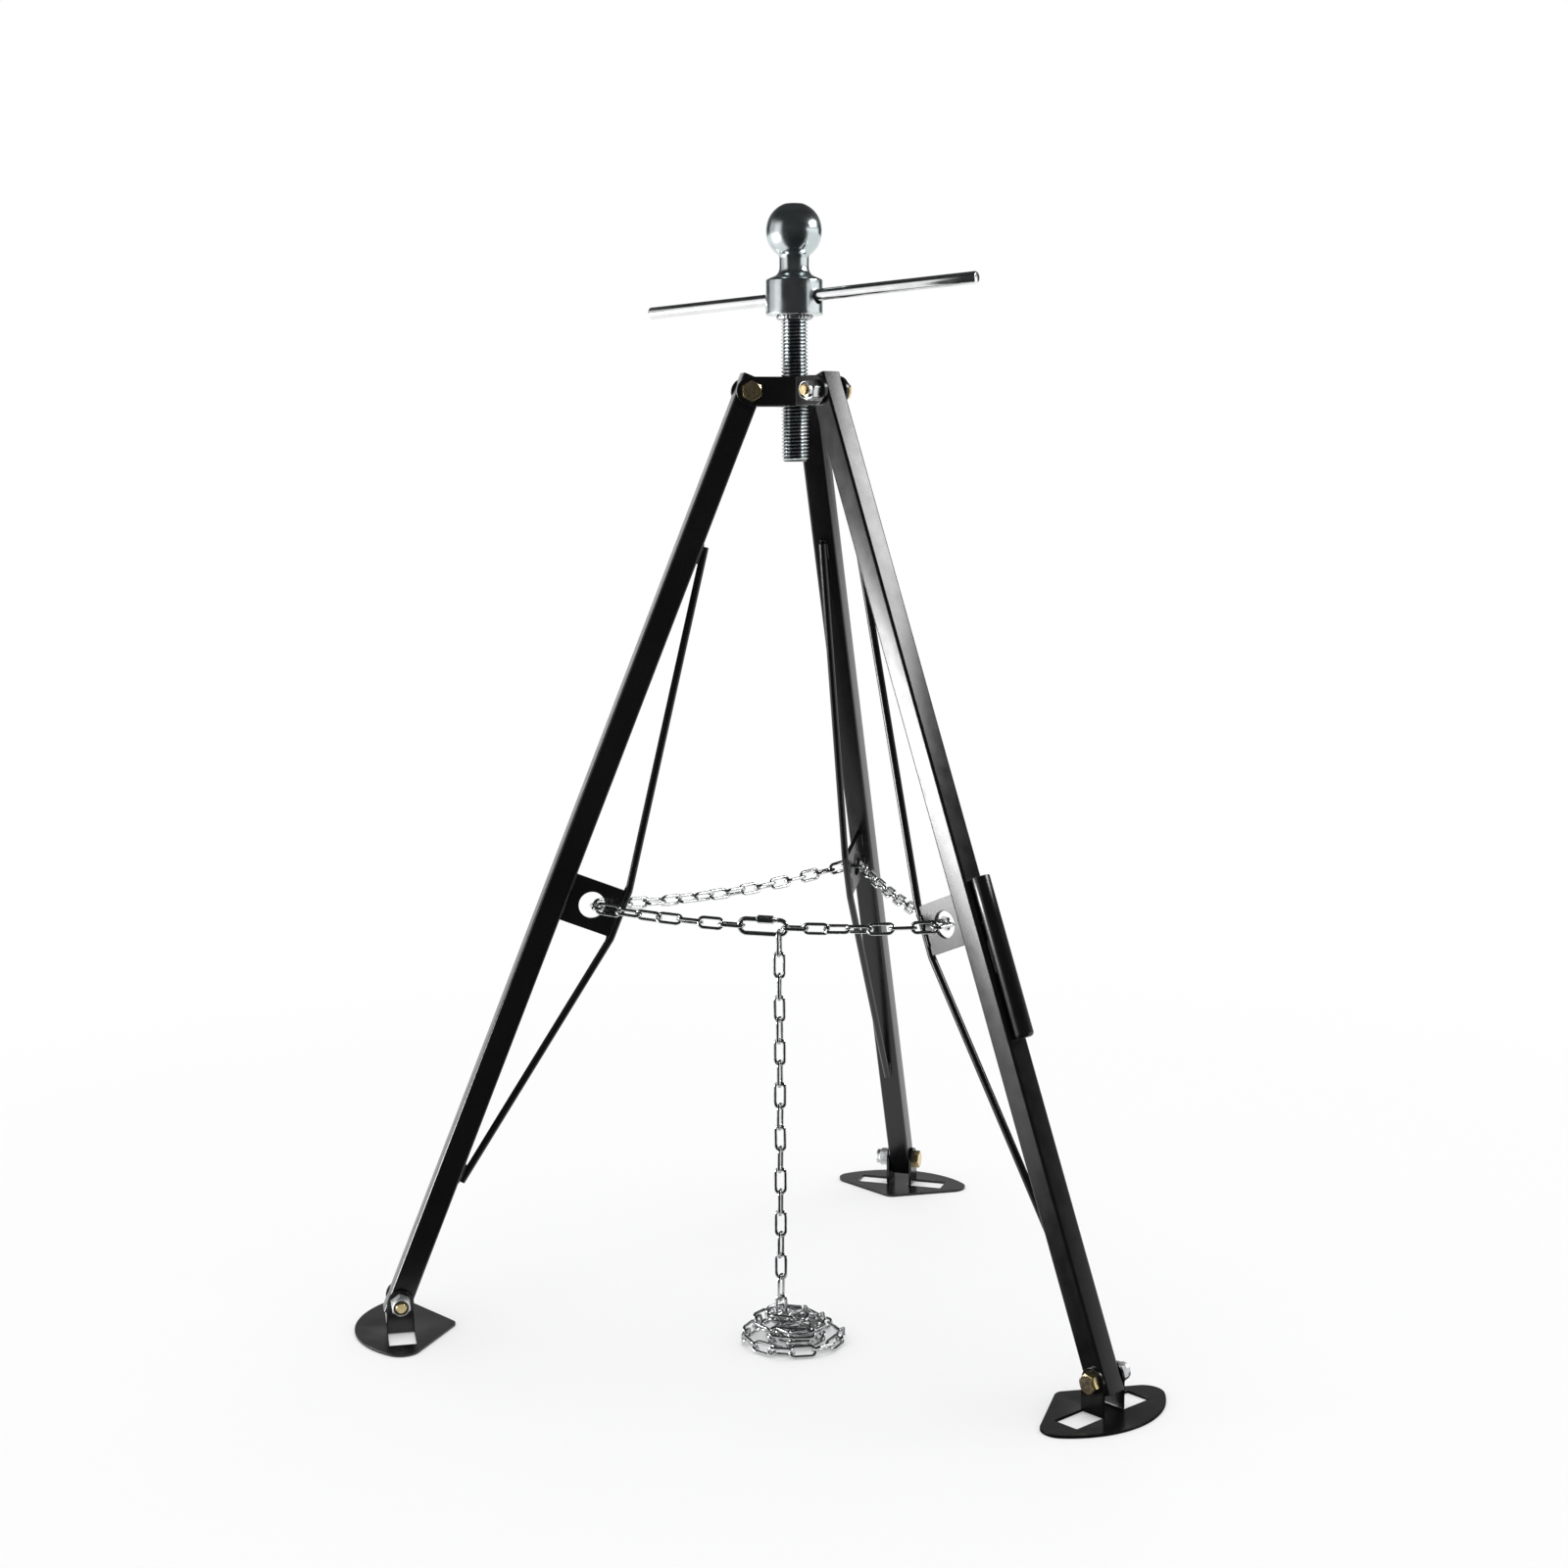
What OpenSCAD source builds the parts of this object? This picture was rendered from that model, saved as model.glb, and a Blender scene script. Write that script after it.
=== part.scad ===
// Folding three-leg stabiliser stand with a screw-jack ball head.
// Millimetres. Origin on the floor under the screw axis, +Z up.
// Legs 0 (right), 1 (back) and 2 (left) stand at leg_az, leg_az + 120 and leg_az + 240 degrees.

/* [Tripod] */
// Angle of each leg from the vertical when the stand is open
leg_splay = 22; // [20:0.5:24]
// Leg length from the crown pivot bolt to the foot bolt
leg_len = 1023.5; // [980:0.5:1060]
// Radius of the crown pivot bolts from the screw axis
pivot_r = 50; // [49:0.5:54]
// Compass angle of the first leg seen from above
leg_az = 312.34; // [300:0.01:330]
// Height of the foot bolts above the floor
foot_bolt_h = 34; // [33:0.5:38]

/* [Legs] */
// Outside width of the square leg tube
tube_w = 25.4; // [24:0.1:25.4]
// Wall of the leg tube
tube_wall = 2.1; // [1.5:0.1:3]
// Length of tube above the pivot bolt
tube_top = 16; // [14:0.5:18]
// Length of tube below the foot bolt
tube_toe = 15; // [14:0.5:18]
// Distance from pivot to the middle of the gusset plate
gusset_s = 560; // [540:1:580]
// Width of the gusset plate, measured away from the tube
gusset_w = 56; // [54:1:58]
// Height of the gusset plate along the tube
gusset_h = 52; // [48:1:56]
// Thickness of the gusset plate
gusset_t = 5; // [4:0.5:6]
// Radius of the chain hole in the gusset plate
gusset_hole_r = 14; // [14:0.5:16]
// Diameter of the truss rod
rod_d = 8; // [6:0.5:9]
// Distance from pivot to the upper end of the truss rod
rod_top = 166; // [150:1:200]
// Distance from pivot to the lower end of the truss rod
rod_low = 884; // [850:1:900]

/* [Storage tube] */
// Outside diameter of the handle storage tube
store_d = 19.5; // [18:0.5:22]
// Bore of the storage tube
store_bore = 15; // [14:0.5:16]
// Distance from pivot to the mouth of the storage tube
store_top = 527; // [480:1:540]
// Overall length of the storage tube
store_len = 164; // [150:1:180]

/* [Crown] */
// Height of the crown plates
crown_h = 30; // [28:1:32]
// Thickness of the crown plates
crown_t = 4.5; // [4:0.5:6]
// Width of the hub nut across its flats
nut_af = 42.9; // [42:0.1:43]
// Height of the hub nut
nut_h = 25; // [22:0.5:30]
// Running gap between a leg tube and the plates beside it
side_gap = 0.3; // [0.2:0.1:0.6]

/* [Ball and screw] */
// Diameter of the ball
ball_d = 58.74; // [57:0.01:60]
// Height of the ball centre above the crown pivots as drawn
ball_up = 164.3; // [120:0.1:200]
// Height of the flat top above the ball centre
ball_flat = 27.6; // [27:0.1:28.5]
// Radius of the collar under the ball
collar_r = 30; // [28:0.5:32]
// Height of the handle hole below the ball centre
hole_drop = 67.5; // [66:0.5:70]
// Radius of the handle hole
hole_r = 8; // [8:0.1:9]
// Outside diameter of the lifting screw
screw_d = 28.575; // [28:0.005:28.575]
// Thread pitch of the lifting screw
screw_p = 3.6286; // [3.5:0.0001:4]
// Distance from the ball centre to the lower end of the screw
screw_drop = 236.5; // [220:0.5:250]

/* [Handle] */
// Diameter of the handle bar
handle_d = 12.7; // [12:0.1:12.7]
// Length of the handle bar
handle_len = 404; // [380:1:420]
// How far the bar is pushed through past its middle
handle_off = 15; // [0:1:30]
// Compass angle the bar points to
handle_az = -33.5; // [-60:0.5:-10]
// Upward lean of the bar in its loose hole
handle_lean = 2.6; // [0:0.1:3]

/* [Bolts] */
// Diameter of the pivot and foot bolts
bolt_d = 12.7; // [12:0.1:12.7]
// Width of bolt heads and nuts across their flats
bolt_af = 19.05; // [18.5:0.05:20]
// Height of a bolt head
head_h = 7.9; // [7:0.1:9]
// Height of a locking nut
lock_h = 15.2; // [13:0.1:16]
// Radial clearance of the bolts in their holes
bolt_gap = 0.05; // [0.03:0.01:0.1]

/* [Foot] */
// Thickness of the foot plate
foot_t = 3; // [2.5:0.1:3.5]
// Half of the foot plate's sideways width
foot_half = 82; // [80:0.5:84]
// Reach of the foot plate outward from its bolt
foot_out = 48; // [46:0.5:50]
// Reach of the foot plate inward from its bolt
foot_in = 58; // [56:0.5:62]
// Width of the folded-up ears
ear_w = 28; // [26:0.5:30]
// Length of the window left by each ear
ear_cut = 38; // [34:1:40]

/* [Chain] */
// Wire diameter of the chain
wire_d = 3.5; // [3:0.1:3.6]
// Sag in the middle of each span
chain_sag = 10; // [6:0.5:14]
// Links in the hanging tail
tail_links = 18; // [12:1:18]

/* [Hidden] */
$fn = 48;
overlap = 0.01;

black = "#1b1b1d";
zinc = "#b9bec2";
bright = "#dfe2e4";
yellow = "#d8c47a";
nylon = "#26282b";

pivot_z = foot_bolt_h + leg_len * cos(leg_splay);
foot_r = pivot_r + leg_len * sin(leg_splay);
ball_z = pivot_z + ball_up;
bolt_hole_r = bolt_d / 2 + bolt_gap;

// distances sideways from the middle plane of a leg
half_w = tube_w / 2;
ear_in = half_w + side_gap;
crown_ear_out = ear_in + crown_t;
foot_ear_out = ear_in + foot_t;

// ---- leg frames: x away from the screw axis, y sideways, z up along the leg ----
function leg_angle(leg) = leg_az + 120 * leg;

module leg_at(leg) {
  rotate([0, 0, leg_angle(leg)]) translate([pivot_r, 0, pivot_z])
    rotate([0, -leg_splay, 0]) children();
}

// upright frame on the floor under a foot bolt
module foot_at(leg) {
  rotate([0, 0, leg_angle(leg)]) translate([foot_r, 0, 0]) children();
}

// world position of a point given in a leg frame, with down = -z
function leg_point(leg, out, side, down) = let(
    angle = leg_angle(leg),
    radius = pivot_r + down * sin(leg_splay) + out * cos(leg_splay),
    height = pivot_z - down * cos(leg_splay) + out * sin(leg_splay))
  [radius * cos(angle) - side * sin(angle), radius * sin(angle) + side * cos(angle), height];

// y range near..far on the +y side, or its mirror image when side is -1
function side_range(side, near, far) = side > 0 ? [near, far] : [-far, -near];

// cylinder along y over a y range
module across(range, radius) {
  translate([0, range[1], 0]) rotate([90, 0, 0]) cylinder(r = radius, h = range[1] - range[0]);
}

// ---- head: heights are measured from the ball centre ----
neck_r = 15.6;
collar_bottom = -86;
collar_chamfer = 1.5;
screw_gap = 0.06; // radial gap around the screw in the weld and the hub nut

// [radius, height] of the neck, its flare and the collar
neck_profile = [[0, 0], [neck_r, 0], [neck_r, -37],
  [16.4, -41], [18, -43.8], [20.3, -45.5],
  [collar_r - 0.6, -49.4], [collar_r, -50.4],
  [collar_r, collar_bottom + collar_chamfer], [collar_r - collar_chamfer, collar_bottom],
  [0, collar_bottom]];

module ball_head() {
  color(zinc) translate([0, 0, ball_z]) difference() {
    union() {
      difference() {
        sphere(r = ball_d / 2, $fn = 96);
        translate([-50, -50, ball_flat]) cube([100, 100, 30]);
      }
      rotate_extrude($fn = 96) polygon(neck_profile);
    }
    translate([0, 0, -hole_drop]) rotate([0, 90, handle_az])
      cylinder(r = hole_r, h = 90, center = true);
  }
}

// The thread is a stack of plain rings, one for each pitch.
module lift_screw() {
  bottom = -screw_drop;
  crest_r = screw_d / 2;
  root_r = crest_r - 2.0;
  plain = 4; // unthreaded length at the top, and the least at the bottom
  turns = floor((collar_bottom - bottom - 2 * plain) / screw_p);
  // [radius, drop from the start of the turn]
  turn = [[root_r, 0.35], [crest_r, 1.55], [crest_r, 2.1], [root_r, 3.3]];
  thread = [for (k = [0 : turns - 1], point = turn)
    [point[0], collar_bottom - plain - k * screw_p - point[1]]];
  color(zinc) translate([0, 0, ball_z]) rotate_extrude($fn = 64) polygon(concat(
    [[0, collar_bottom], [root_r, collar_bottom], [root_r, collar_bottom - plain]],
    thread,
    [[root_r, bottom + 1.9], [root_r - 0.7, bottom], [0, bottom]]));
}

// fillet weld under the collar
module screw_weld() {
  inner_r = screw_d / 2 + screw_gap;
  // [width beyond the inner radius, height]
  profile = [[0, 0], [4.6, 0], [4.1, -1.4], [2.4, -3], [0.8, -4], [0, -4.3]];
  color(zinc) translate([0, 0, ball_z + collar_bottom - 0.05]) rotate_extrude($fn = 64)
    polygon([for (point = profile) [inner_r + point[0], point[1]]]);
}

module handle_bar() {
  chamfer = 1.4;
  radius = handle_d / 2;
  color(bright) translate([0, 0, ball_z - hole_drop])
    rotate([0, 0, handle_az]) rotate([0, 90 - handle_lean, 0])
    translate([0, 0, handle_off - handle_len / 2]) rotate_extrude($fn = 48)
      polygon([[0, 0], [radius - chamfer, 0], [radius, chamfer],
        [radius, handle_len - chamfer], [radius - chamfer, handle_len], [0, handle_len]]);
}

// ---- crown ----
module hub_nut() {
  color(black) translate([0, 0, pivot_z - nut_h / 2]) difference() {
    rotate([0, 0, leg_az + 30]) cylinder(r = nut_af / 2 / cos(30), h = nut_h, $fn = 6);
    translate([0, 0, -1]) cylinder(r = screw_d / 2 + screw_gap, h = nut_h + 2, $fn = 64);
  }
}

// Plate between a leg and the next one: its middle lies on a nut flat and its
// ears run along the two legs, 60 degrees to either side of local x.
module crown_plate(leg) {
  inner_x = nut_af / 2;
  outer_x = inner_x + crown_t;
  // y of the bend, where the plane at x meets an ear face offset from the leg's middle
  function bend_y(x, offset) = (cos(30) * x - offset) / sin(30);
  function ear_end(offset, side) = [cos(30) * offset + sin(30) * pivot_r,
    side * (cos(30) * pivot_r - sin(30) * offset)];
  inner_y = bend_y(inner_x, ear_in);
  outer_y = bend_y(outer_x, crown_ear_out);
  color(black) rotate([0, 0, leg_angle(leg) + 60]) translate([0, 0, pivot_z]) difference() {
    union() {
      translate([0, 0, -crown_h / 2]) linear_extrude(crown_h) polygon([
        [inner_x, -inner_y], [inner_x, inner_y], ear_end(ear_in, 1), ear_end(crown_ear_out, 1),
        [outer_x, outer_y], [outer_x, -outer_y],
        ear_end(crown_ear_out, -1), ear_end(ear_in, -1)]);
      for (side = [-1, 1]) rotate([0, 0, 60 * side]) translate([pivot_r, 0, 0])
        across(side_range(-side, ear_in, crown_ear_out), crown_h / 2);
    }
    for (side = [-1, 1]) rotate([0, 0, 60 * side]) translate([pivot_r, 0, 0])
      across(side_range(-side, ear_in - 1, crown_ear_out + 1), bolt_hole_r);
  }
}

// ---- fasteners: axis along y, bolt head at the +y end ----
hex_chamfer = 1.3;
bolt_tip = 1; // length and depth of the cone at the bolt's end
rim_h = 4.5; // round rim of a locking nut
recess_h = 3.2; // recess in the rim that holds the insert
recess_r = bolt_af / 2 - 1.7;
nut_bore_r = bolt_d / 2 + 0.05;

// hexagon ending at y_end, where its corners are chamfered
module hex_y(y_end, height) {
  corner_r = bolt_af / 2 / cos(30);
  round_r = corner_r * 1.02;
  straight = height - hex_chamfer;
  mirror([0, 1, 0]) translate([0, height - y_end, 0]) rotate([90, 0, 0]) intersection() {
    cylinder(r = corner_r, h = height, $fn = 6);
    union() {
      cylinder(r = round_r, h = straight, $fn = 48);
      translate([0, 0, straight])
        cylinder(r1 = round_r, r2 = corner_r * 0.9, h = hex_chamfer, $fn = 48);
    }
  }
}

// bolt with the underside of its head at y_head and its tip at y_tip
module bolt_y(y_head, y_tip) {
  hex_y(y_head + head_h, head_h);
  across([y_tip + bolt_tip, y_head + overlap], bolt_d / 2);
  translate([0, y_tip + bolt_tip + overlap, 0]) rotate([90, 0, 0])
    cylinder(r1 = bolt_d / 2, r2 = bolt_d / 2 - bolt_tip, h = bolt_tip + overlap);
}

// nut with its hexagon against the plate at y_face and its rim towards -y
module lock_nut_y(y_face) {
  y_end = y_face - lock_h;
  difference() {
    union() {
      hex_y(y_face, lock_h - rim_h);
      across([y_end, y_end + rim_h + 0.1], bolt_af / 2 - 0.7);
    }
    across([y_end - 1, y_face + 1], nut_bore_r);
    across([y_end - 1, y_end + recess_h], recess_r);
  }
}

module insert_y(y_face) {
  y_end = y_face - lock_h;
  difference() {
    across([y_end + 0.6, y_end + recess_h], recess_r);
    across([y_end - 1, y_face], nut_bore_r);
  }
}

// each fastener is turned about its axis by a different amount
module at_pivots() {
  for (leg = [0 : 2]) rotate([0, 0, leg_angle(leg)]) translate([pivot_r, 0, pivot_z])
    rotate([0, 12 + 25 * leg, 0]) children();
}

module at_foot_bolt(leg) {
  foot_at(leg) translate([0, 0, foot_bolt_h]) mirror([0, 1, 0])
    rotate([0, 20 + 17 * leg, 0]) children();
}

module pivot_bolts() {
  color(yellow) at_pivots() bolt_y(crown_ear_out, -crown_ear_out - lock_h - 1.8);
}
module pivot_nuts() { color(zinc) at_pivots() lock_nut_y(-crown_ear_out); }
module pivot_inserts() { color(nylon) at_pivots() insert_y(-crown_ear_out); }

module foot_bolt(leg) {
  color(yellow) at_foot_bolt(leg) bolt_y(foot_ear_out, -foot_ear_out - lock_h - 1.2);
}
module foot_nut(leg) { color(zinc) at_foot_bolt(leg) lock_nut_y(-foot_ear_out); }
module foot_insert(leg) { color(nylon) at_foot_bolt(leg) insert_y(-foot_ear_out); }

// ---- legs ----
gusset_x = -(half_w + gusset_w / 2); // middle of the gusset and of its hole

module round_square(width, corner_r) {
  flat = width - 2 * corner_r;
  square([width, flat], center = true);
  square([flat, width], center = true);
  for (x = [-1, 1], y = [-1, 1]) translate([x * flat / 2, y * flat / 2])
    circle(r = corner_r, $fn = 32);
}

module leg_tube(leg) {
  color(black) leg_at(leg) difference() {
    translate([0, 0, -leg_len - tube_toe]) linear_extrude(leg_len + tube_toe + tube_top)
      difference() {
        round_square(tube_w, corner_r = 3);
        round_square(tube_w - 2 * tube_wall, corner_r = 1);
      }
    across([-20, 20], bolt_hole_r);
    translate([0, 0, -leg_len]) across([-20, 20], bolt_hole_r);
  }
}

module gusset(leg) {
  color(black) leg_at(leg) translate([gusset_x, 0, -gusset_s]) difference() {
    cube([gusset_w, gusset_t, gusset_h], center = true);
    across([-10, 10], gusset_hole_r);
  }
}

// straight rod between two [x, z] points
module rod_piece(from, to) {
  run = to - from;
  translate([from[0], 0, from[1]]) rotate([0, atan2(run[0], run[1]), 0])
    cylinder(r = rod_d / 2, h = norm(run), $fn = 32);
}

// rod on the tube's inward face, bowed out over the far edge of the gusset
module truss_rod(leg) {
  tube_x = -(half_w + rod_d / 2);
  bow_x = tube_x - gusset_w;
  bend = gusset_h / 2 + 1; // from the gusset's middle to each bend
  path = [[tube_x, -rod_top], [bow_x, -gusset_s + bend],
    [bow_x, -gusset_s - bend], [tube_x, -rod_low]];
  color(black) leg_at(leg) {
    for (k = [0 : 2]) rod_piece(path[k], path[k + 1]);
    for (k = [1, 2]) translate([path[k][0], 0, path[k][1]]) sphere(r = rod_d / 2, $fn = 32);
  }
}

// tube on the outward face of leg 0, closed and rounded at its lower end
module storage_tube() {
  radius = store_d / 2;
  round_r = 4.5;
  floor_t = 6;
  color(black) leg_at(0) translate([half_w + radius, 0, -store_top - store_len])
    rotate_extrude($fn = 48) polygon(concat(
      [[0, 0]],
      arc_points([radius - round_r, round_r], round_r, -90, 0, 4),
      [[radius, store_len], [store_bore / 2, store_len], [store_bore / 2, floor_t],
        [0, floor_t]]));
}

// ---- feet: local x points outward, away from the screw axis ----
function arc_points(centre, radius, start, end, steps) = [for (k = [0 : steps])
  let(angle = start + (end - start) * k / steps) centre + radius * [cos(angle), sin(angle)]];

// one large arc outward, a round corner each side, then two straight edges
// to a blunt round point inward
module foot_outline() {
  corner_r = 19.5;
  point_r = 11.5;
  corner = [1, foot_half - corner_r];
  point = [point_r - foot_in, 0];
  // large arc through the outward tip, tangent to both corner circles
  inset = corner[0] - foot_out;
  arc_r = (inset * inset + corner[1] * corner[1] - corner_r * corner_r)
    / (2 * (foot_out - corner[0] - corner_r));
  arc_x = foot_out - arc_r;
  arc_end = atan2(corner[1], corner[0] - arc_x);
  // direction of the normal to the straight edge tangent to corner and point
  edge = corner - point;
  edge_normal = atan2(edge[1], edge[0]) + 90 + asin((corner_r - point_r) / norm(edge));
  corner_arc = arc_points(corner, corner_r, arc_end, edge_normal, 8);
  half = concat(
    arc_points([arc_x, 0], arc_r, 0, arc_end, 12),
    [for (k = [1 : 8]) corner_arc[k]],
    arc_points(point, point_r, edge_normal, 180, 4));
  polygon(concat(half, [for (k = [len(half) - 2 : -1 : 1]) [half[k][0], -half[k][1]]]));
}

module foot_pad(leg) {
  color(black) foot_at(leg) difference() {
    union() {
      linear_extrude(foot_t) difference() {
        foot_outline();
        for (side = [-1, 1])
          translate([-ear_w / 2, side_range(side, foot_ear_out, foot_ear_out + ear_cut)[0]])
            square([ear_w, ear_cut]);
      }
      for (side = [-1, 1]) {
        range = side_range(side, ear_in, foot_ear_out);
        translate([-ear_w / 2, range[0], 0]) cube([ear_w, foot_t, foot_bolt_h]);
        translate([0, 0, foot_bolt_h]) across(range, ear_w / 2);
      }
    }
    translate([0, 0, foot_bolt_h]) across([-30, 30], bolt_hole_r);
  }
}

// ---- chain ----
span_count = 16; // link places in each span
front_count = 7; // links on each side of the quick link
chain_gap = 0.2; // clearance between touching links
// corner links pass through the gusset holes; the spans hook on to both sides of them
corner_x = gusset_x - gusset_hole_r + wire_d + 4.75;
hook_side = 9.5;

function span_end(leg, side) = leg_point(leg, corner_x, side * hook_side, gusset_s);
function sag_point(from, to, t) = from + (to - from) * t - [0, 0, 4 * chain_sag * t * (1 - t)];
function unit(v) = v / norm(v);

// pitch from the length of a shallow parabola
span = norm(span_end(1, -1) - span_end(0, 1));
pitch = (span + 8 / 3 * chain_sag * chain_sag / span) / span_count;
wire_r = wire_d / 2;
link_x = wire_r + 3.5; // wire centreline: half width, which is also the bend radius
link_z = (pitch + chain_gap) / 2 + wire_r - link_x; // half of the straight side

// half rings that close both ends of a link
module link_ends(straight, bend_r, radius, facets) {
  for (m = [0, 1]) mirror([0, 0, m]) translate([0, 0, straight]) rotate([90, 0, 0])
    rotate_extrude(angle = 180, $fn = 48) translate([bend_r, 0])
      circle(r = radius, $fn = facets);
}

// one link, long axis z, flat in the xz plane
module link() {
  for (side = [-1, 1]) translate([side * link_x, 0, -link_z])
    cylinder(r = wire_r, h = 2 * link_z, $fn = 24);
  link_ends(straight = link_z, bend_r = link_x, radius = wire_r, facets = 24);
}

// place children with z along a direction, rolled about it
module along(place, direction, roll) {
  axis = unit(direction);
  translate(place) rotate([0, acos(axis[2]), atan2(axis[1], axis[0])])
    rotate([0, 0, roll]) children();
}

// links first..last of a span, each rolled by twist from the one before
module span_links(from, to, first, last, twist) {
  for (k = [first : last]) {
    start = sag_point(from, to, k / span_count);
    end = sag_point(from, to, (k + 1) / span_count);
    along((start + end) / 2, end - start, twist * k) link();
  }
}

module corner_link(leg) {
  centre = leg_point(leg, corner_x, 0, gusset_s);
  color(zinc) along(centre, leg_point(leg, corner_x, 1, gusset_s) - centre, 90) link();
}

// half of the full span from a leg to the next one
module half_span(leg, first) {
  color(zinc) span_links(span_end(leg, 1), span_end(leg + 1, -1),
    first, first + span_count / 2 - 1, twist = 96);
}
module chain_right_front() { half_span(leg = 0, first = 0); }
module chain_right_back() { half_span(leg = 0, first = 8); }
module chain_back_right() { half_span(leg = 1, first = 0); }
module chain_back_left() { half_span(leg = 1, first = 8); }

// front span from leg 2 to leg 0, with the quick link in the place of two links
front_left = span_end(2, 1);
front_right = span_end(0, -1);
module front_links(from, to) {
  color(zinc) span_links(from, to, 0, front_count - 1, twist = 105);
}
module chain_front_left() { front_links(front_left, front_right); }
module chain_front_right() { front_links(front_right, front_left); }

// quick link: open ring of thicker wire, gap covered by a sleeve on its upper side
quick_r = 2.5;
quick_x = 7.5;
quick_z = pitch + chain_gap + quick_r - quick_x;
quick_opening = [2, 9]; // ends of the gap along the link
sleeve_len = 17;
sleeve_mid = 3;
quick_mid = (sag_point(front_left, front_right, front_count / span_count)
  + sag_point(front_left, front_right, 1 - front_count / span_count)) / 2;
quick_dir = unit(front_right - front_left);

module quick_at() {
  along(quick_mid, quick_dir, 180) children();
}

module quick_side(x, bottom, length) {
  translate([x, 0, bottom]) cylinder(r = quick_r, h = length, $fn = 32);
}

module quick_link() {
  color(zinc) quick_at() {
    quick_side(-quick_x, -quick_z, 2 * quick_z);
    quick_side(quick_x, -quick_z, quick_z + quick_opening[0]);
    quick_side(quick_x, quick_opening[1], quick_z - quick_opening[1]);
    link_ends(straight = quick_z, bend_r = quick_x, radius = quick_r, facets = 32);
  }
}

module quick_link_sleeve() {
  color(zinc) quick_at() translate([quick_x, 0, sleeve_mid - sleeve_len / 2]) difference() {
    cylinder(r = 4.6, h = sleeve_len, $fn = 6);
    translate([0, 0, -1]) cylinder(r = quick_r + 0.05, h = sleeve_len + 2, $fn = 32);
  }
}

// tail hanging from the quick link's lower side, near its leg 0 end
tail_at = quick_mid + quick_dir * (quick_z - 0.66);
module chain_tail() {
  top_z = tail_at[2] - quick_x + quick_r + wire_r + chain_gap - link_z - link_x + pitch / 2;
  heading = atan2(quick_dir[1], quick_dir[0]);
  color(zinc) for (k = [0 : tail_links - 1])
    translate([tail_at[0], tail_at[1], top_z - pitch * (k + 0.5)])
      rotate([0, 0, heading + 90 + 90 * k]) link();
}

// loose pile under the tail: closed rings of links leaning 45 degrees to alternate sides
pile_at = [tail_at[0] + 12.3, tail_at[1] - 13.1];
module ring(count, x, y, z, turn) {
  reach = 2 * (link_z + link_x);
  half_step = 180 / count;
  radius = (reach * cos(half_step) - wire_d - chain_gap) / (2 * sin(half_step));
  for (k = [0 : count - 1]) translate([pile_at[0] + x, pile_at[1] + y, z])
    rotate([0, 0, turn + 360 / count * k]) translate([radius * cos(half_step), 0, 0])
    rotate([90, 0, 0]) rotate([0, 0, k % 2 == 0 ? 45 : -45]) link();
}

module chain_pile() {
  lift = link_x * sin(45) + wire_r + 0.05; // centre of a leaning link above the floor
  color(zinc) {
    ring(count = 14, x = 0, y = 0, z = lift, turn = 0);
    ring(count = 8, x = 2, y = -1, z = lift, turn = 10);
    ring(count = 10, x = -4, y = 8, z = 3 * lift + chain_gap, turn = 5);
  }
}

ball_head();
lift_screw();
screw_weld();
handle_bar();
hub_nut();
crown_plate(0);  // crown_plate_right
crown_plate(1);  // crown_plate_back
crown_plate(2);  // crown_plate_front
pivot_bolts();
pivot_nuts();
pivot_inserts();
leg_tube(0);  // leg_tube_right
leg_tube(1);  // leg_tube_back
leg_tube(2);  // leg_tube_left
gusset(0);  // gusset_right
gusset(1);  // gusset_back
gusset(2);  // gusset_left
truss_rod(0);  // truss_rod_right
truss_rod(1);  // truss_rod_back
truss_rod(2);  // truss_rod_left
storage_tube();
foot_pad(0);  // foot_pad_right
foot_pad(1);  // foot_pad_back
foot_pad(2);  // foot_pad_left
foot_bolt(0);  // foot_bolt_right
foot_bolt(1);  // foot_bolt_back
foot_bolt(2);  // foot_bolt_left
foot_nut(0);  // foot_nut_right
foot_nut(1);  // foot_nut_back
foot_nut(2);  // foot_nut_left
foot_insert(0);  // foot_insert_right
foot_insert(1);  // foot_insert_back
foot_insert(2);  // foot_insert_left
corner_link(0);  // corner_link_right
corner_link(1);  // corner_link_back
corner_link(2);  // corner_link_left
chain_front_left();
chain_front_right();
chain_right_front();
chain_right_back();
chain_back_right();
chain_back_left();
quick_link();
quick_link_sleeve();
chain_tail();
chain_pile();
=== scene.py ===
import math
import random

import bmesh
import bpy
import numpy as np
from mathutils import Matrix, Vector
from mathutils.geometry import delaunay_2d_cdt


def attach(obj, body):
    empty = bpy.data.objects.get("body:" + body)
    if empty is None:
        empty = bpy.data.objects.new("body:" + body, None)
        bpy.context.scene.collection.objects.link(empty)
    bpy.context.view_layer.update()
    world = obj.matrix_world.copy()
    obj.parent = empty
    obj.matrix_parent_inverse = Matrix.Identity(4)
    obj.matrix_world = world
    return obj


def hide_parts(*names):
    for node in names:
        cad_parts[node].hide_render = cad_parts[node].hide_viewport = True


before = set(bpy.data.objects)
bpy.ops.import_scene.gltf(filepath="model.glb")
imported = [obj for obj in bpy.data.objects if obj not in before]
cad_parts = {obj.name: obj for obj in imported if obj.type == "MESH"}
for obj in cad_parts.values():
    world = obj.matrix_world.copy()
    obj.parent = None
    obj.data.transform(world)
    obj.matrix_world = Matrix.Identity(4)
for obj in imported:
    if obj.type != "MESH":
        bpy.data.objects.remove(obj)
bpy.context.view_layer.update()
MM = 0.001
LEGS = ["right", "back", "left"]

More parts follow.
